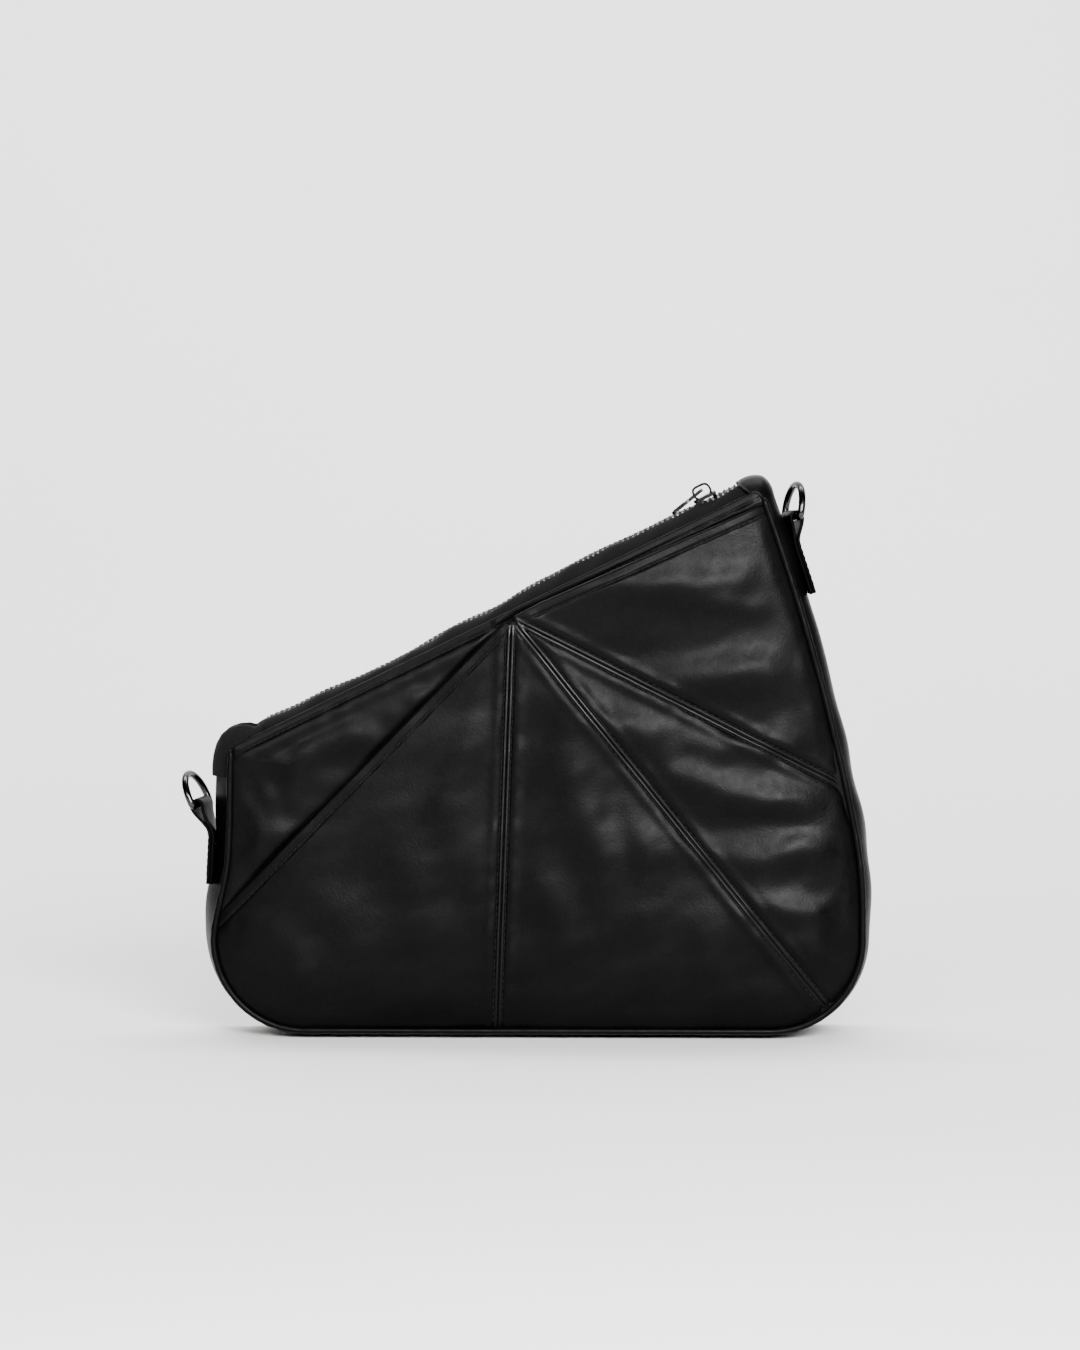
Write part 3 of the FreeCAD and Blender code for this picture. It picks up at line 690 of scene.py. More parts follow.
def build_overlay_stitching():
    rows = []
    for arm in seam_arm:
        side = np.array([-arm[1], arm[0]])
        reach = np.interp(polar_angle(arm[0], arm[1]), rim_angle, rim_reach)
        for sense in (-1, 1):
            start = APEX + arm * 9 + side * sense * ROW
            stop = APEX + arm * (reach - 2.5) + side * sense * ROW
            rows.append(stitch_row(overlay_point, start, stop, slant=5 * sense))
    for arm, end, sense in ((fold_arm[0], fold_end[0], 1), (fold_arm[1], fold_end[1], -1)):
        inwards = FOLD_ROW * sense * np.array([-arm[1], arm[0]])
        rows.append(stitch_row(overlay_point, APEX + arm * 8 + inwards, end - arm * 5 + inwards))
    new_mesh("overlay_stitching", join(rows), THREAD)


# Front and back leather

panel_rim = OUT.inset(edge_inset(OUT.p) + PANEL_EDGE)
TOP_A, TOP_B = panel_rim[0], panel_rim[-1]
top_way = unit(TOP_B - TOP_A)
top_down = np.array([top_way[1], -top_way[0]])
top_count = int(np.linalg.norm(TOP_B - TOP_A) / 1.3)
top_edge = TOP_B + (TOP_A - TOP_B) * (np.arange(1, top_count) / top_count)[:, None]
PANEL_LOOP = np.vstack([panel_rim, top_edge])
MIDDLE = np.array([5.0, 105.0])
# Distance of the stitches from the top edge
TOP_ROW = 3.0


def rim_distance(x, z):
    """Distance from points to the sewn rim, measured square to it."""
    x, z = np.broadcast_arrays(x, z)
    flat = np.column_stack([x.ravel(), z.ravel()])
    found = np.empty(len(flat))
    for start in range(0, len(flat), 4000):
        part = flat[start:start + 4000]
        gap = part[:, None] - panel_rim[None]
        nearest = np.argmin((gap ** 2).sum(axis=2), axis=1)
        pick = np.arange(len(part))
        found[start:start + 4000] = (gap[pick, nearest] * OUT.n[nearest]).sum(axis=1)
    return np.maximum(found, 0).reshape(x.shape)


def top_distance(x, z):
    return (x - TOP_A[0]) * top_down[0] + (z - TOP_A[1]) * top_down[1]


def top_seam(x, z, top, seed, swelling, puckered):
    """The stitched fold under a panel's top edge: a pressed line and the swelling below it."""
    along = (x - TOP_A[0]) * top_way[0] + (z - TOP_A[1]) * top_way[1]
    pucker = ripple(along, seed, 13, 8)
    pressed = (0.40 + 0.12 * pucker) * bell(top, TOP_ROW, 0.75)
    return swelling * bell(top, 6.5, 2.6) * (1 + puckered * pucker) - pressed


FRONT_FOLDS = [
    ((-122, 124), (-74, 138), 8, 2.3),
    ((-130, 120), (-84, 130), 16, -1.5),
    ((-134, 106), (-94, 116), 8, 1.6),
    ((-134, 86), (-108, 94), 7, 1.4),
    ((-104, 132), (-112, 104), 4, 0.8),
    ((-70, 146), (-40, 158), 5, 1.0),
]


def front_out(x, z):
    """Outer face of the upper front leather, which runs on behind the overlay."""
    rim, top = rim_distance(x, z), top_distance(x, z)
    height = 1.0 + 1.5 * (1 - np.exp(-rim / 6)) + top_seam(x, z, top, 81, 0.5, 0.15)
    soft = 0.3 * waves(x, z, 21, 40, 65, 70) + 0.12 * waves(x, z, 22, 15, 60, 120)
    height += folded(soft, x, z, FRONT_FOLDS) * smooth(top, 3, 14) * smooth(rim, 1, 14)
    # Behind the overlay it lies flat against the lining
    dx, dz = x - APEX[0], z - APEX[1]
    left, right = [beside_arm(dx, dz, arm)[1] for arm in fold_arm]
    behind = np.where(dx < 0, -left, right)
    return height - np.maximum(height - 0.4, 0) * smooth(behind, -3.8, 1.5)


BACK_FOLDS = [
    ((-100, 40), (-20, 30), 12, 1.0),
    ((-70, 76), (20, 84), 11, 0.9),
    ((60, 60), (120, 70), 9, 1.2),
    ((50, 120), (118, 118), 10, 1.1),
    ((40, 170), (100, 178), 8, 0.9),
    ((-40, 110), (20, 130), 9, -0.7),
]


def back_out(x, z):
    """Outer face of the plain back leather."""
    rim, top = rim_distance(x, z), top_distance(x, z)
    height = 1.0 + 4.2 * (1 - np.exp(-np.minimum(rim, top * 1.6) / 24)) + top_seam(x, z, top, 91, 0.35, 0.0)
    soft = 0.75 * waves(x, z, 23, 62, 80, 60) + 0.12 * waves(x, z, 24, 22, 80, 150)
    return height + folded(soft, x, z, BACK_FOLDS) * smooth(np.minimum(rim, top), 3, 26)


def build_panel(name, side, out, replaced):
    """Leather panel as rings from its middle to the rim, round the edge and back inside."""
    shares = np.unique(np.concatenate([np.linspace(0.03, 0.86, 46), np.linspace(0.86, 1, 34)]))
    loops = []
    for share in shares:
        flat = MIDDLE + (PANEL_LOOP - MIDDLE) * share
        loops.append(panel_point(side, *flat.T, out(*flat.T)))
    normal = np.vstack([OUT.n, np.broadcast_to(top_down, top_edge.shape)])
    rim_height = out(*PANEL_LOOP.T)
    edge_round = LEATHER / 2
    for turn in np.radians([30, 60, 90, 120, 150]):
        flat = PANEL_LOOP - normal * edge_round * math.sin(turn)
        loops.append(panel_point(side, *flat.T, rim_height + edge_round * (math.cos(turn) - 1)))
    for share in np.linspace(1, 0.03, 10):
        flat = MIDDLE + (PANEL_LOOP - MIDDLE) * share
        under = np.minimum(out(*flat.T) - LEATHER, 0.3)
        loops.append(panel_point(side, *flat.T, under))
    new_mesh(name, loft(loops), LEATHER_SKIN, replaced=replaced)


def build_top_stitching():
    rows = []
    for side, out in ((FRONT, front_out), (BACK, back_out)):
        def surface(x, z, side=side, out=out):
            return panel_point(side, x, z, out(x, z))
        inset = top_down * TOP_ROW
        rows.append(stitch_row(surface, TOP_A + inset + top_way * 6, TOP_B + inset - top_way * 4))
    new_mesh("mouth_edge_stitching", join(rows), THREAD)


# Gusset and piping


def build_piping():
    for side, word in SIDES:
        run = OUT.between(LEFT_UPPER, FLANK_UPPER)
        line = OUT.inset(edge_inset(OUT.p[run]), run)
        s = OUT.s[run]
        lumps = 0.05 * ripple(s, 61 + side, 9, 9)
        taper = np.minimum(1, np.minimum(s - s[0], s[-1] - s) / 3 + 0.35)
        path = panel_point(side, *line.T, 1.5 + 0.1 * ripple(s, 63, 40, 6))
        name = "piping_" + word
        shape = tube(path, (1.5 + lumps) * taper, 14)
        new_mesh(name + "_cord", shape, PIPING_SKIN, "bag", replaced=[name])


def gusset_inset(p, s, v):
    """Inset of the gusset's surface at depth share v: full in the middle, tucked under the piping."""
    edge = edge_inset(p)[:, None] + 0.6
    side = smooth(p[:, 1], 40, 75)[:, None]
    left = smooth(-p[:, 0], 60, 100)[:, None]
    roundness = 3.2 - 1.9 * smooth(-p[:, 0], -40, 40)[:, None]
    full = np.abs(v)[None, :] ** roundness
    relief = 0.28 * waves(s[:, None], v[None, :] * 22, 41, 34, 10, 50)
    # Pressed in under the left strap tab, swollen out to meet the right one
    tabs = 1.6 * left * bell(p[:, 1], 92, 26)[:, None] - 0.9 * (1 - left) * bell(p[:, 1], 213, 22)[:, None]
    swell = 0.5 + 1.3 * (1 - left) * side + 1.4 * left * bell(p[:, 1], 57, 13)[:, None]
    return edge * full + ((relief + tabs) * side - swell) * (1 - full)


def build_gussets():
    v = np.concatenate([[-1.0], np.linspace(-0.97, 0.97, 27), [1.0]])
    names = ["gusset_left", "gusset_bottom", "gusset_right"]
    breaks = [(LEFT_UPPER, BASE_START - 1), (BASE_START, RIGHT_CORNER - 1), (RIGHT_CORNER, TOP_RIGHT)]
    for name, (first, last) in zip(names, breaks):
        run = OUT.between(first, last)
        p, n, s = OUT.p[run], OUT.n[run], OUT.s[run]
        inset = gusset_inset(p, s, v)
        lean = np.zeros_like(p)
        if name == "gusset_right":
            # Its top end swells into an ear and leans over the end of the zip
            lean = 3.4 * smooth(s, s[-1] - 7, s[-1])[:, None] * ALONG
            ear = bell(s, s[-1] - 5.0, 6.0)[:, None] * (1 - 0.6 * np.abs(v)) * (1 - 0.4 * np.abs(v) ** 3)
            inset = inset - 2.0 * ear
        # A lapped seam joins the strips
        for end in (s[0], s[-1]):
            inset = inset + 0.5 * bell(s, end, 1.2)[:, None] * (1 - np.abs(v)[None, :] ** 6)
        inset = np.maximum(inset, np.where(p[:, 1] < 12, 0.0, -9.0)[:, None])
        outer, inner = [], []
        for k, share in enumerate(v):
            flat = p + n * inset[:, k:k + 1] - lean * (1 - abs(share) ** 4)
            outer.append(between_panels(flat, share, 0.4))
            inner.append(between_panels(flat + n * 2.2, share, -0.2))
        new_mesh(name + "_leather", sheet(outer, inner), LEATHER_SKIN, replaced=[name])


# Zip

TAPE_LENGTH = 245.5
OPEN_FROM = SLIDER_U - 2.0
TOOTH_PITCH = 2.5
TOOTH_COUNT = 95
TOOTH_FIRST = 6.0
STOP_U = SLIDER_U + 15.4 + 1.2
BOTTOM_STOP_U = 4.2


def zip_point(u, y, up):
    """A point on the zip line's frame."""
    u, y, up = np.broadcast_arrays(u, y, up)
    flat = ZIP_START + u[..., None] * ALONG + up[..., None] * UP
    return np.stack([flat[..., 0], y, flat[..., 1]], axis=-1)


def zip_spread(u):
    """How far each row stands from the middle: together below the slider, parting above it."""
    return 0.29 * np.minimum(np.maximum(np.asarray(u, float) - OPEN_FROM, 0), 8.3)


def zip_sag(u):
    """The chain's gentle waviness, its drop over the left corner and the slack past the slider."""
    u = np.asarray(u, float)
    dips = -2.0 * bell(u, 66, 26) - 1.2 * bell(u, 122, 12) + 0.1 * bell(u, 2, 8) + 1.2 * bell(u, 166, 40)
    return dips - 0.5 * smooth(u, SLIDER_U + 7, TAPE_LENGTH) + 0.15 * ripple(u, 33, 30, 6)


def mouth_blend(piece):
    """Bakes the piece's placement into its mesh. The two zip points worked out here are not used."""
    low, high = zip_point(6.0, 0.0, 0.0) * MM, zip_point(75.0, 0.0, 0.0) * MM
    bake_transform(piece)


def build_tapes():
    u = np.linspace(0, TAPE_LENGTH, 190)
    spread, sag = zip_spread(u), zip_sag(u)
    # Section from the facing to the teeth: distance from the middle and height
    section = [(MOUTH_HINGE_Y, -MOUTH_HINGE_DROP), (10.2, -6.2), (9.2, -4.2), (7.8, -2.6), (6.2, -1.3)]
    section += [(4.6, -0.5), (3.2, -0.12), (2.2, 0.0), (1.3, 0.0)]
    for side, word in SIDES:
        rows = []
        for y, up in section:
            near = 1 - smooth(y, 1.3, 9.5)
            uneven = 0.35 * waves(u, u * 0 + y * 3, 35 + side, 17, 10, 60) * bell(y, 6, 4)
            rows.append((u, side * (y + spread * near), up + sag * near + uneven))
        thick = 0.55
        outer = [zip_point(a, b, c + thick / 2) for a, b, c in rows]
        inner = [zip_point(a, b - side * 0.25, c - thick / 2) for a, b, c in rows]
        name = "zip_tape_" + word
        piece = new_mesh(name + "_weave", sheet(outer, inner), TAPE, None, replaced=[name])
        mouth_blend(piece)


def tooth_shape():
    """One tooth, reaching along -Y: a crimped root on the tape, a waist and a rounded head."""
    # Sections: place along Y, half width and half height
    stations = [(3.1, 0.45, 0.75), (2.9, 0.62, 1.05), (1.9, 0.66, 1.15), (1.2, 0.60, 1.15), (0.6, 0.46, 1.0)]
    stations += [(0.0, 0.50, 0.95), (-0.5, 0.52, 0.9), (-0.8, 0.42, 0.75), (-0.95, 0.25, 0.5)]
    corner = [(1, 0.6), (0.6, 1), (-0.6, 1), (-1, 0.6), (-1, -0.6), (-0.6, -1), (0.6, -1), (1, -0.6)]
    return loft([[(half_u * a, y, half_up * b) for a, b in corner] for y, half_u, half_up in stations])


def build_teeth():
    shape, faces = tooth_shape()
    rng = np.random.default_rng(5)
    for side, word in SIDES:
        parts = []
        for number in range(TOOTH_COUNT):
            u = TOOTH_FIRST + (number + (0.5 if side == BACK else 0.0)) * TOOTH_PITCH
            a, y, up = shape.T
            skewed = a + 0.02 * rng.normal() * y
            parts.append((zip_point(u + skewed, side * (y + zip_spread(u)), zip_sag(u) + up), faces))
        name = "zip_teeth_" + word
        piece = new_mesh(name + "_metal", join(parts), TEETH, None,
                         smooth_shading=False, replaced=[name])
        mouth_blend(piece)


def rounded_block(place, size, corner=0.35):
    """A block with softened edges, square to the zip."""
    half = np.array(size) / 2
    level = 1 - corner / half[2]
    octagon = [(1, 0.5), (0.5, 1), (-0.5, 1), (-1, 0.5), (-1, -0.5), (-0.5, -1), (0.5, -1), (1, -0.5)]
    rings = []
    for height, shrink in ((-1, corner), (-level, 0), (level, 0), (1, corner)):
        rings.append([(x * (half[0] - shrink), y * (half[1] - shrink), height * half[2]) for x, y in octagon])
    points, faces = loft(rings)
    return zip_point(*(points + place).T), faces


def build_stops():
    for side, word in SIDES:
        place = (STOP_U, side * 3.5, zip_sag(STOP_U) + 0.7)
        name = "zip_stop_" + word
        piece = new_mesh(name + "_clamp", rounded_block(place, (2.4, 2.2, 2.8)), TEETH, None,
                         replaced=[name])
        mouth_blend(piece)
    shape = rounded_block((BOTTOM_STOP_U, 0, zip_sag(BOTTOM_STOP_U) - 0.4), (2.4, 3.4, 2.2))
    new_mesh("zip_bottom_clamp", shape, TEETH, "bag", replaced=["zip_bottom_stop"])


def build_end_tab():
    """Woven end of the zip, turned down over the corner and sewn to the gusset."""
    # Its middle line: along the zip's end, and then x and z down the corner
    level = [ZIP_START + u * ALONG + (0.3 + zip_sag(u)) * UP for u in (3.5, 1.5, -0.5)]
    turn = [(-130.5, 142.4), (-135.5, 141.8), (-140.0, 139.8), (-143.6, 136.6), (-145.9, 132.4)]
    path = np.array([*level, *turn, (-147.0, 127.6), (-147.3, 123.0), (-147.5, 118.5)])
    run = run_length(path)
    even = np.linspace(0, run[-1], 44)
    path = np.column_stack([np.interp(even, run, path[:, 0]), np.interp(even, run, path[:, 1])])
    tangent = unit(np.gradient(path, axis=0))
    outward = np.column_stack([tangent[:, 1], -tangent[:, 0]])
    outer, inner = [], []
    for share in np.linspace(-1, 1, 33):
        half = 10.2 + 2.2 * smooth(even, 4, 14)
        drop = 20.0 * max(abs(share) - 0.35, 0.0) ** 2 * smooth(even, -6, 14)
        # A dip between the two tape ends leaves room for the pull
        drop = drop + 3.4 * (1 - smooth(abs(share), 0.3, 0.52)) * (1 - smooth(even, 8, 15))
        drop = drop + 0.2 * waves(even, even * 0 + share * 9, 37, 12, 20, 90)
        for store, depth in ((outer, 0.0), (inner, 0.9)):
            flat = path - outward * (drop + depth)[:, None]
            store.append(np.column_stack([flat[:, 0], share * half, flat[:, 1]]))
    new_mesh("zip_end_weave", sheet(outer, inner), TAPE, replaced=["zip_end_tab"])


# Slider and pull

# The smooth faces of the metal parts keep edges sharper than this
SHARP_ANGLE = math.radians(32.0)


def plate(outline, low, high, bevel):
    """A flat plate with bevelled edges, for an outline in its own plane."""
    outline = np.asarray(outline, float)
    middle = outline.mean(axis=0)
    size = np.abs(outline - middle).max(axis=0)
    shrunk = middle + (outline - middle) * (1 - bevel / size)
    levels = [(low, shrunk), (low + bevel, outline), (high - bevel, outline), (high, shrunk)]
    return loft([np.column_stack([shape, np.full(len(shape), level)]) for level, shape in levels])


def rounded_outline(corners, radius, steps=5):
    """A polygon with its corners rounded."""
    corners = np.asarray(corners, float)
    points = []
    for k, corner in enumerate(corners):
        before, after = corners[k - 1], corners[(k + 1) % len(corners)]
        reach = min(radius, 0.45 * np.linalg.norm(before - corner), 0.45 * np.linalg.norm(after - corner))
        a = corner + unit(before - corner) * reach
        b = corner + unit(after - corner) * reach
        for t in np.linspace(0, 1, steps):
            points.append((1 - t) ** 2 * a + 2 * t * (1 - t) * corner + t * t * b)
    return np.array(points)


def mirrored(half, radius):
    """A rounded outline that is the same on both sides of its first axis, from one half of it."""
    return rounded_outline([*half, *[(a, -b) for a, b in half[::-1]]], radius)


def strip_along(path, half_wide, half_thick, corner=0.25):
    """A flat bar along a path in the side plane, with softened corners."""
    a, b = half_wide, half_thick
    c = min(corner, b * 0.6)
    ring = [(a - c, b), (a, b - c), (a, c - b), (a - c, -b)]
    ring += [(-x, -y) for x, y in ring]
    return tube(path, 1.0, ring=ring, flat_normal=(0, 1, 0))


def build_slider():
    plan = mirrored([(-5.5, -2.3), (-3.5, -4.3), (0, -4.3), (3.5, -5.4), (5.5, -5.4)], 1.2)
    parts = [plate(plan, 1.5, 2.9, 0.35), plate(plan, -2.9, -1.5, 0.35)]
    for sense in (-1, 1):
        corners = [(-5.2, sense * 3.6), (-1.0, sense * 3.6), (-1.0, sense * 4.3), (-4.2, sense * 4.3)]
        flange = rounded_outline(corners[::sense], 0.3, 3)
        parts.append(plate(flange, 0.7, 1.7, 0.1))
        parts.append(plate(flange, -1.7, -0.7, 0.1))
    post = rounded_outline([(3.4, 0.0), (5.3, -0.8), (5.3, 0.8)], 0.2, 3)
    parts.append(plate(post, -1.7, 1.7, 0.05))
    # Crown: a flat bar that springs from both ends of the top plate
    arch = rounded_outline([(-4.1, 2.6), (-3.9, 8.0), (3.6, 8.0), (4.1, 2.6)], 2.6, 8)
    arch = np.array([p for p in arch if p[1] > 2.65])
    arch = np.vstack([[-4.15, 2.4], arch, [4.15, 2.4]])
    path = np.column_stack([arch[:, 0], np.zeros(len(arch)), arch[:, 1]])
    parts.append(strip_along(path, 1.1, 0.52))
    points, faces = join(parts)
    shape = zip_point(*(points + (SLIDER_U, 0, 0)).T), faces
    piece = new_mesh("zip_slider_body", shape, METAL, "slider", replaced=["zip_slider"])
    piece.data.set_sharp_from_angle(angle=SHARP_ANGLE)


def build_pull():
    """Pull tab hung by its bar under the crown, resting on the zip."""
    droop = math.radians(12.5)
    tab = mirrored([(-6.2, 2.9), (-8.2, 3.5), (-15.4, 3.5), (-17.0, 2.0)], 1.3)
    parts = [plate(tab, -0.65, 0.65, 0.22)]
    for sense in (-1, 1):
        corners = [(0.4, sense * 1.6), (0.4, sense * 2.9), (-6.8, sense * 2.9), (-6.8, sense * 1.6)]
        arm = rounded_outline(corners[::sense], 0.5, 4)
        parts.append(plate(arm, -0.62, 0.62, 0.2))
    bar = np.column_stack([np.zeros(9), np.linspace(-2.6, 2.6, 9), np.zeros(9)])
    parts.append(tube(bar, 0.72, 12, flat_normal=(1, 0, 0)))
    rim = mirrored([(-9.6, -2.1), (-15.0, -2.1), (-15.9, -1.2)], 0.8)
    rim = np.vstack([rim, rim[:1]])
    groove = np.column_stack([rim, np.full(len(rim), 0.62)])
    parts.append(tube(groove, 0.16, 8, flat_normal=(0, 0, 1)))
    points, faces = join(parts)
    x, up = turned(points[:, 0], points[:, 2], droop)
    points = zip_point(SLIDER_U + x, points[:, 1], PULL_RISE + up)
    piece = new_mesh("zip_pull_tab", (points, faces), METAL, "pull", replaced=["zip_pull"])
    piece.data.set_sharp_from_angle(angle=SHARP_ANGLE)


# Strap fittings

WIRE = 3.2
# Lean and twist in degrees, and how far the sewn part lies in against the gusset
TAB_LEAN = {"left": 3.1, "right": -18.4}
TAB_TWIST = {"left": 16.0, "right": -14.0}
TAB_SINK = {"left": 4.3, "right": 0.5}


def fitting_frame(word):
    """Bar centre and axes of a strap fitting: across along the bar, up along the tab, and away."""
    joint = joints[f"ring_{word}_turn"]
    bar = np.array(joint["pos_m"]) / MM
    across = np.array(joint["axis"])
    lean = math.radians(TAB_LEAN[word])
    up = np.array([math.sin(lean), 0, math.cos(lean)])
    return bar, np.cross(across, up), across, up


def placed(points, place):
    bar, away, across, up = place
    points = np.asarray(points)
    return bar + points[:, :1] * away + points[:, 1:2] * across + points[:, 2:3] * up


def settle_tab(points, word):
    """The sewn part of a tab turns flat against the gusset, while its loop follows the ring."""
    points = np.array(points, float)
    low = smooth(-points[:, 2], 0, 14)
    twist = math.radians(TAB_TWIST[word]) * (0.35 + 0.65 * low)
    away, across = turned(points[:, 0], points[:, 1], twist)
    return np.column_stack([away - TAB_SINK[word] * low, across, points[:, 2]])


def ring_path(half=11.4, corner=2.2, leg=1.5):
    """Centre line of a D-ring, with its bar along Y."""
    def arc(cy, cz, radius, start, end, count):
        angle = np.radians(np.linspace(start, end, count, endpoint=False))
        return [(0.0, cy + radius * math.cos(a), cz + radius * math.sin(a)) for a in angle]
    rise = corner + leg
    bar = [(0.0, y, 0.0) for y in np.linspace(corner - half, half - corner, 14, endpoint=False)]
    path = bar + arc(half - corner, corner, corner, -90, 0, 8)
    path += [(0.0, half, z) for z in np.linspace(corner, rise, 3, endpoint=False)]
    path += arc(0, rise, half, 0, 180, 56)
    path += [(0.0, -half, z) for z in np.linspace(rise, corner, 3, endpoint=False)]
    return np.array(path + arc(corner - half, corner, corner, 180, 270, 8))


def build_ring(word, place):
    lean = math.radians(27.0)
    path = ring_path()
    away, up = turned(path[:, 0], path[:, 2], -lean)
    normal = np.array([math.cos(lean), 0, -math.sin(lean)])
    leaning = np.column_stack([away, path[:, 1], up])
    points, faces = tube(leaning, WIRE / 2, 22, closed=True, flat_normal=normal)
    name, shape = "d_ring_" + word, (placed(points, place), faces)
    new_mesh(name + "_wire", shape, RING_METAL, "ring_" + word, replaced=[name])


def tab_path():
    """Middle line of the leather strip: up the inner layer, round the bar and down the outer one."""
    radius, meet, closes, low = 2.65, -1.15, -11.0, -35.1
    inner = [(-radius, z) for z in np.linspace(low, -1, 26)]
    over = [(radius * math.cos(a), radius * math.sin(a)) for a in np.radians(np.linspace(180, 0, 17))]
    t = np.linspace(0, 1, 13)[1:]
    blend = t * t * (3 - 2 * t)
    outer = [(radius + (meet - radius) * b, closes * a) for a, b in zip(t, blend)]
    down = [(meet, z) for z in np.linspace(closes, low, 17)[1:]]
    return np.array(inner + over + outer + down)


def build_tab(word, place):
    path = tab_path()
    tangent = unit(np.gradient(path, axis=0))
    normal = np.column_stack([-tangent[:, 1], tangent[:, 0]])
    half, thick, soft, edge_row = 8.7, 0.74, 0.55, 2.2
    section = [(y, thick) for y in np.linspace(-half + soft, half - soft, 13)]
    section += [(half - soft * 0.3, thick * 0.75), (half, 0), (half - soft * 0.3, -thick * 0.75)]
    section += [(y, -thick) for y in np.linspace(half - soft, -half + soft, 13)]
    section += [(-half + soft * 0.3, -thick * 0.75), (-half, 0), (-half + soft * 0.3, thick * 0.75)]
    loops = []
    for p, n in zip(path, normal):
        ring = []
        for y, off in section:
            pressed = 0.14 * bell(abs(y), half - edge_row, 0.5) * np.sign(off)
            flat = p + n * (off - pressed)
            ring.append((flat[0], y, flat[1]))
        loops.append(ring)
    name = "strap_tab_" + word
    points, faces = loft(loops)
    shape = placed(settle_tab(points, word), place), faces
    new_mesh(name + "_leather", shape, TAB_SKIN, "bag", replaced=[name])
    face = path[-1][0] + thick
    rows = []
    for y in (edge_row - half, half - edge_row):
        rows += [(face, y, z, 0, 1) for z in np.arange(-12.5, -33.5, -STITCH_PITCH)]
    rows += [(face, y, z, 1, 0) for z in (-11.5, -33.2) for y in np.arange(-4.8, 5, 2.4)]
    profile = [(-0.5, 0.35), (-0.35, 0.9), (0.35, 0.9), (0.5, 0.35)]
    outwards = np.array([1.0, 0, 0])
    parts = []
    for x, y, z, lying, upright in rows:
        middle, way, aside = np.array([[x + 0.05, y, z], [0, lying, upright], [0, upright, lying]])
        parts.append(stitch(middle, way, aside, outwards, 2.1, profile))
    points, faces = join(parts)
    shape = placed(settle_tab(points, word), place), faces
    new_mesh(name + "_stitching", shape, THREAD, "bag")


# Inside


def build_linings():
    """Twill linings, which hang a little loose inside the leather."""
    for side, word in SIDES:
        loops = []
        rim = OUT.inset(np.maximum(edge_inset(OUT.p) + 3.4, 7.0))
        top = rim[-1] + (rim[0] - rim[-1]) * (np.arange(1, 160) / 160)[:, None] + top_down * 2.0
        loop = np.vstack([rim, top])
        for depth, order in ((0.35, np.linspace(0.03, 1, 26)), (0.95, np.linspace(1, 0.03, 8))):
            for share in order:
                flat = MIDDLE + (loop - MIDDLE) * share
                loose = 0.8 * (waves(*flat.T, 44 + side, 45) + 1.2) * smooth(1 - share, 0.02, 0.4)
                loops.append(panel_point(side, *flat.T, -depth - np.clip(loose, 0, 2.2)))
        name = "lining_" + word
        new_mesh(name + "_twill", loft(loops), TWILL, "bag", replaced=[name])
    run = OUT.between(LEFT_UPPER, FLANK_UPPER)
    outer, inner = [], []
    for share in np.linspace(-1, 1, 13):
        for store, deep in ((outer, 5.0), (inner, 5.6)):
            flat = OUT.inset(np.maximum(edge_inset(OUT.p[run]) + 1.5, deep), run)
            store.append(between_panels(flat, share, -1.0))
    new_mesh("lining_gusset_twill", sheet(outer, inner), TWILL, "bag",
             replaced=["lining_gusset"])


def build_facings():
    """Leather facings inside the mouth, with rounded edges."""
    # Section: distance below the top edge and height over the panel's inner face
    section = [(2.2, -0.55), (2.6, -0.3), (8, -0.2), (14, -0.3), (14.6, -0.6)]
    section += [(14.5, -1.3), (14.0, -1.6), (8, -1.7), (2.7, -1.6), (2.3, -1.2)]
    along = np.linspace(7, np.linalg.norm(TOP_B - TOP_A) - 9, 120)
    for side, word in SIDES:
        rows = []
        for drop, out in section:
            flat = TOP_A + along[:, None] * top_way + drop * top_down
            rows.append(panel_point(side, *flat.T, out))
        name = "mouth_facing_" + word
        new_mesh(name + "_leather", loft(np.stack(rows, axis=1)), LEATHER_SKIN, replaced=[name])


def build_board():
    """The base board keeps its CAD shape."""
    board = frame["nodes"]["base_board"]
    for slot_material in board.material_slots:
        slot_material.material = BOARD


# Stage


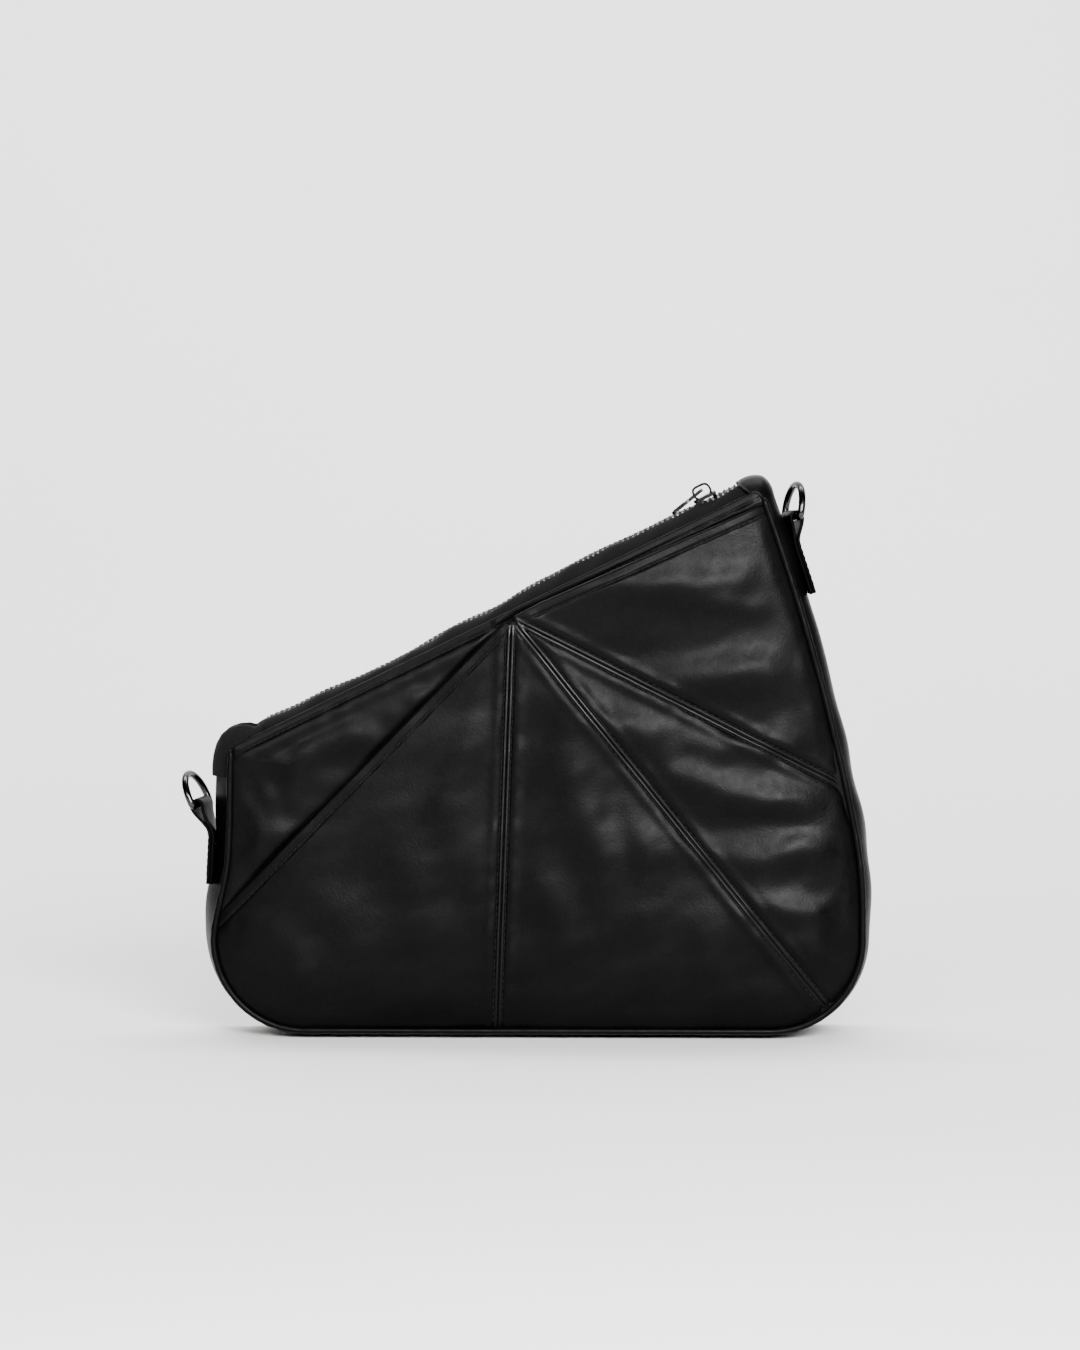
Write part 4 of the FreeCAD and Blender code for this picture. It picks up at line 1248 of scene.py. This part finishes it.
def build_stage():
    """A pale paper sweep, soft lights and a faint world light."""
    bend_start, bend, wall_top, half_wide = 1.0, 0.9, 3.2, 3.5
    profile = [(-3.0, 0.0), (bend_start, 0.0)]
    for a in np.radians(np.arange(5, 90, 5)):
        profile.append((bend_start + bend * math.sin(a), bend - bend * math.cos(a)))
    profile += [(bend_start + bend, bend), (bend_start + bend, wall_top)]
    points = [(x, y, z) for y, z in profile for x in (-half_wide, half_wide)]
    faces = [(2 * k, 2 * k + 1, 2 * k + 3, 2 * k + 2) for k in range(len(profile) - 1)]
    sweep = surface_object("paper_sweep", points, faces, paper_material())

    add_light("key", (0.42, -1.75, 0.84), (0.0, 0.0, 0.16), (0.9, 0.58), 86)
    add_light("fill", (-0.75, -1.85, 0.95), (-0.05, 0.0, 0.12), (0.5, 0.4), 11)
    add_light("side", (1.7, -0.7, 0.7), (0.12, 0.0, 0.14), (0.5, 0.7), 4)
    add_light("top", (0.0, 0.7, 2.4), (0.0, 0.7, 0.0), (2.6, 1.6), 40)
    add_light("wall", (0.0, 0.6, 2.3), (0.0, 1.9, 1.3), (2.8, 0.7), 135)
    add_light("floor", (0.0, -1.25, 0.75), (0.0, -1.0, 0.0), (1.8, 0.3), 22)

    world = bpy.data.worlds.new("studio")
    world.use_nodes = True
    world.node_tree.nodes["Background"].inputs["Color"].default_value = (0.9, 0.93, 1.0, 1)
    world.node_tree.nodes["Background"].inputs["Strength"].default_value = 0.06
    bpy.context.scene.world = world


def aim_at(thing, place, target):
    """Put a lamp or camera at a place and point it at a target."""
    thing.location = place
    thing.rotation_euler = (target - place).to_track_quat("-Z", "Y").to_euler()


def add_light(name, place, target, size, power):
    """A rectangular soft light aimed at a point."""
    light = bpy.data.lights.new(name, "AREA")
    light.shape = "RECTANGLE"
    light.size, light.size_y = size
    light.energy = power
    aim_at(new_object(name, light), Vector(place), Vector(target))


def build_camera():
    """The camera stands in front of the bag and a little above it."""
    distance, elevation = 2.4, math.radians(5.0)
    picture_height = 0.6136
    aim = Vector((0.0014, 0.0, 0.1638))
    camera = bpy.data.cameras.new("camera")
    camera.sensor_width = 36.0
    camera.lens = 36.0 * distance / picture_height
    camera.clip_end = 20
    stand = new_object("camera", camera)
    aim_at(stand, aim + Vector((0, -math.cos(elevation), math.sin(elevation))) * distance, aim)
    bpy.context.scene.camera = stand


build_camera()
build_stage()
build_overlay()
build_overlay_stitching()
build_panel("front_leather", FRONT, front_out, ["front_panel"])
build_panel("back_leather", BACK, back_out, ["back_panel"])
build_top_stitching()
build_piping()
build_gussets()
build_tapes()
build_teeth()
build_stops()
build_end_tab()
build_slider()
build_pull()
for word in ("left", "right"):
    place = fitting_frame(word)
    build_tab(word, place)
    build_ring(word, place)
build_linings()
build_facings()
build_board()
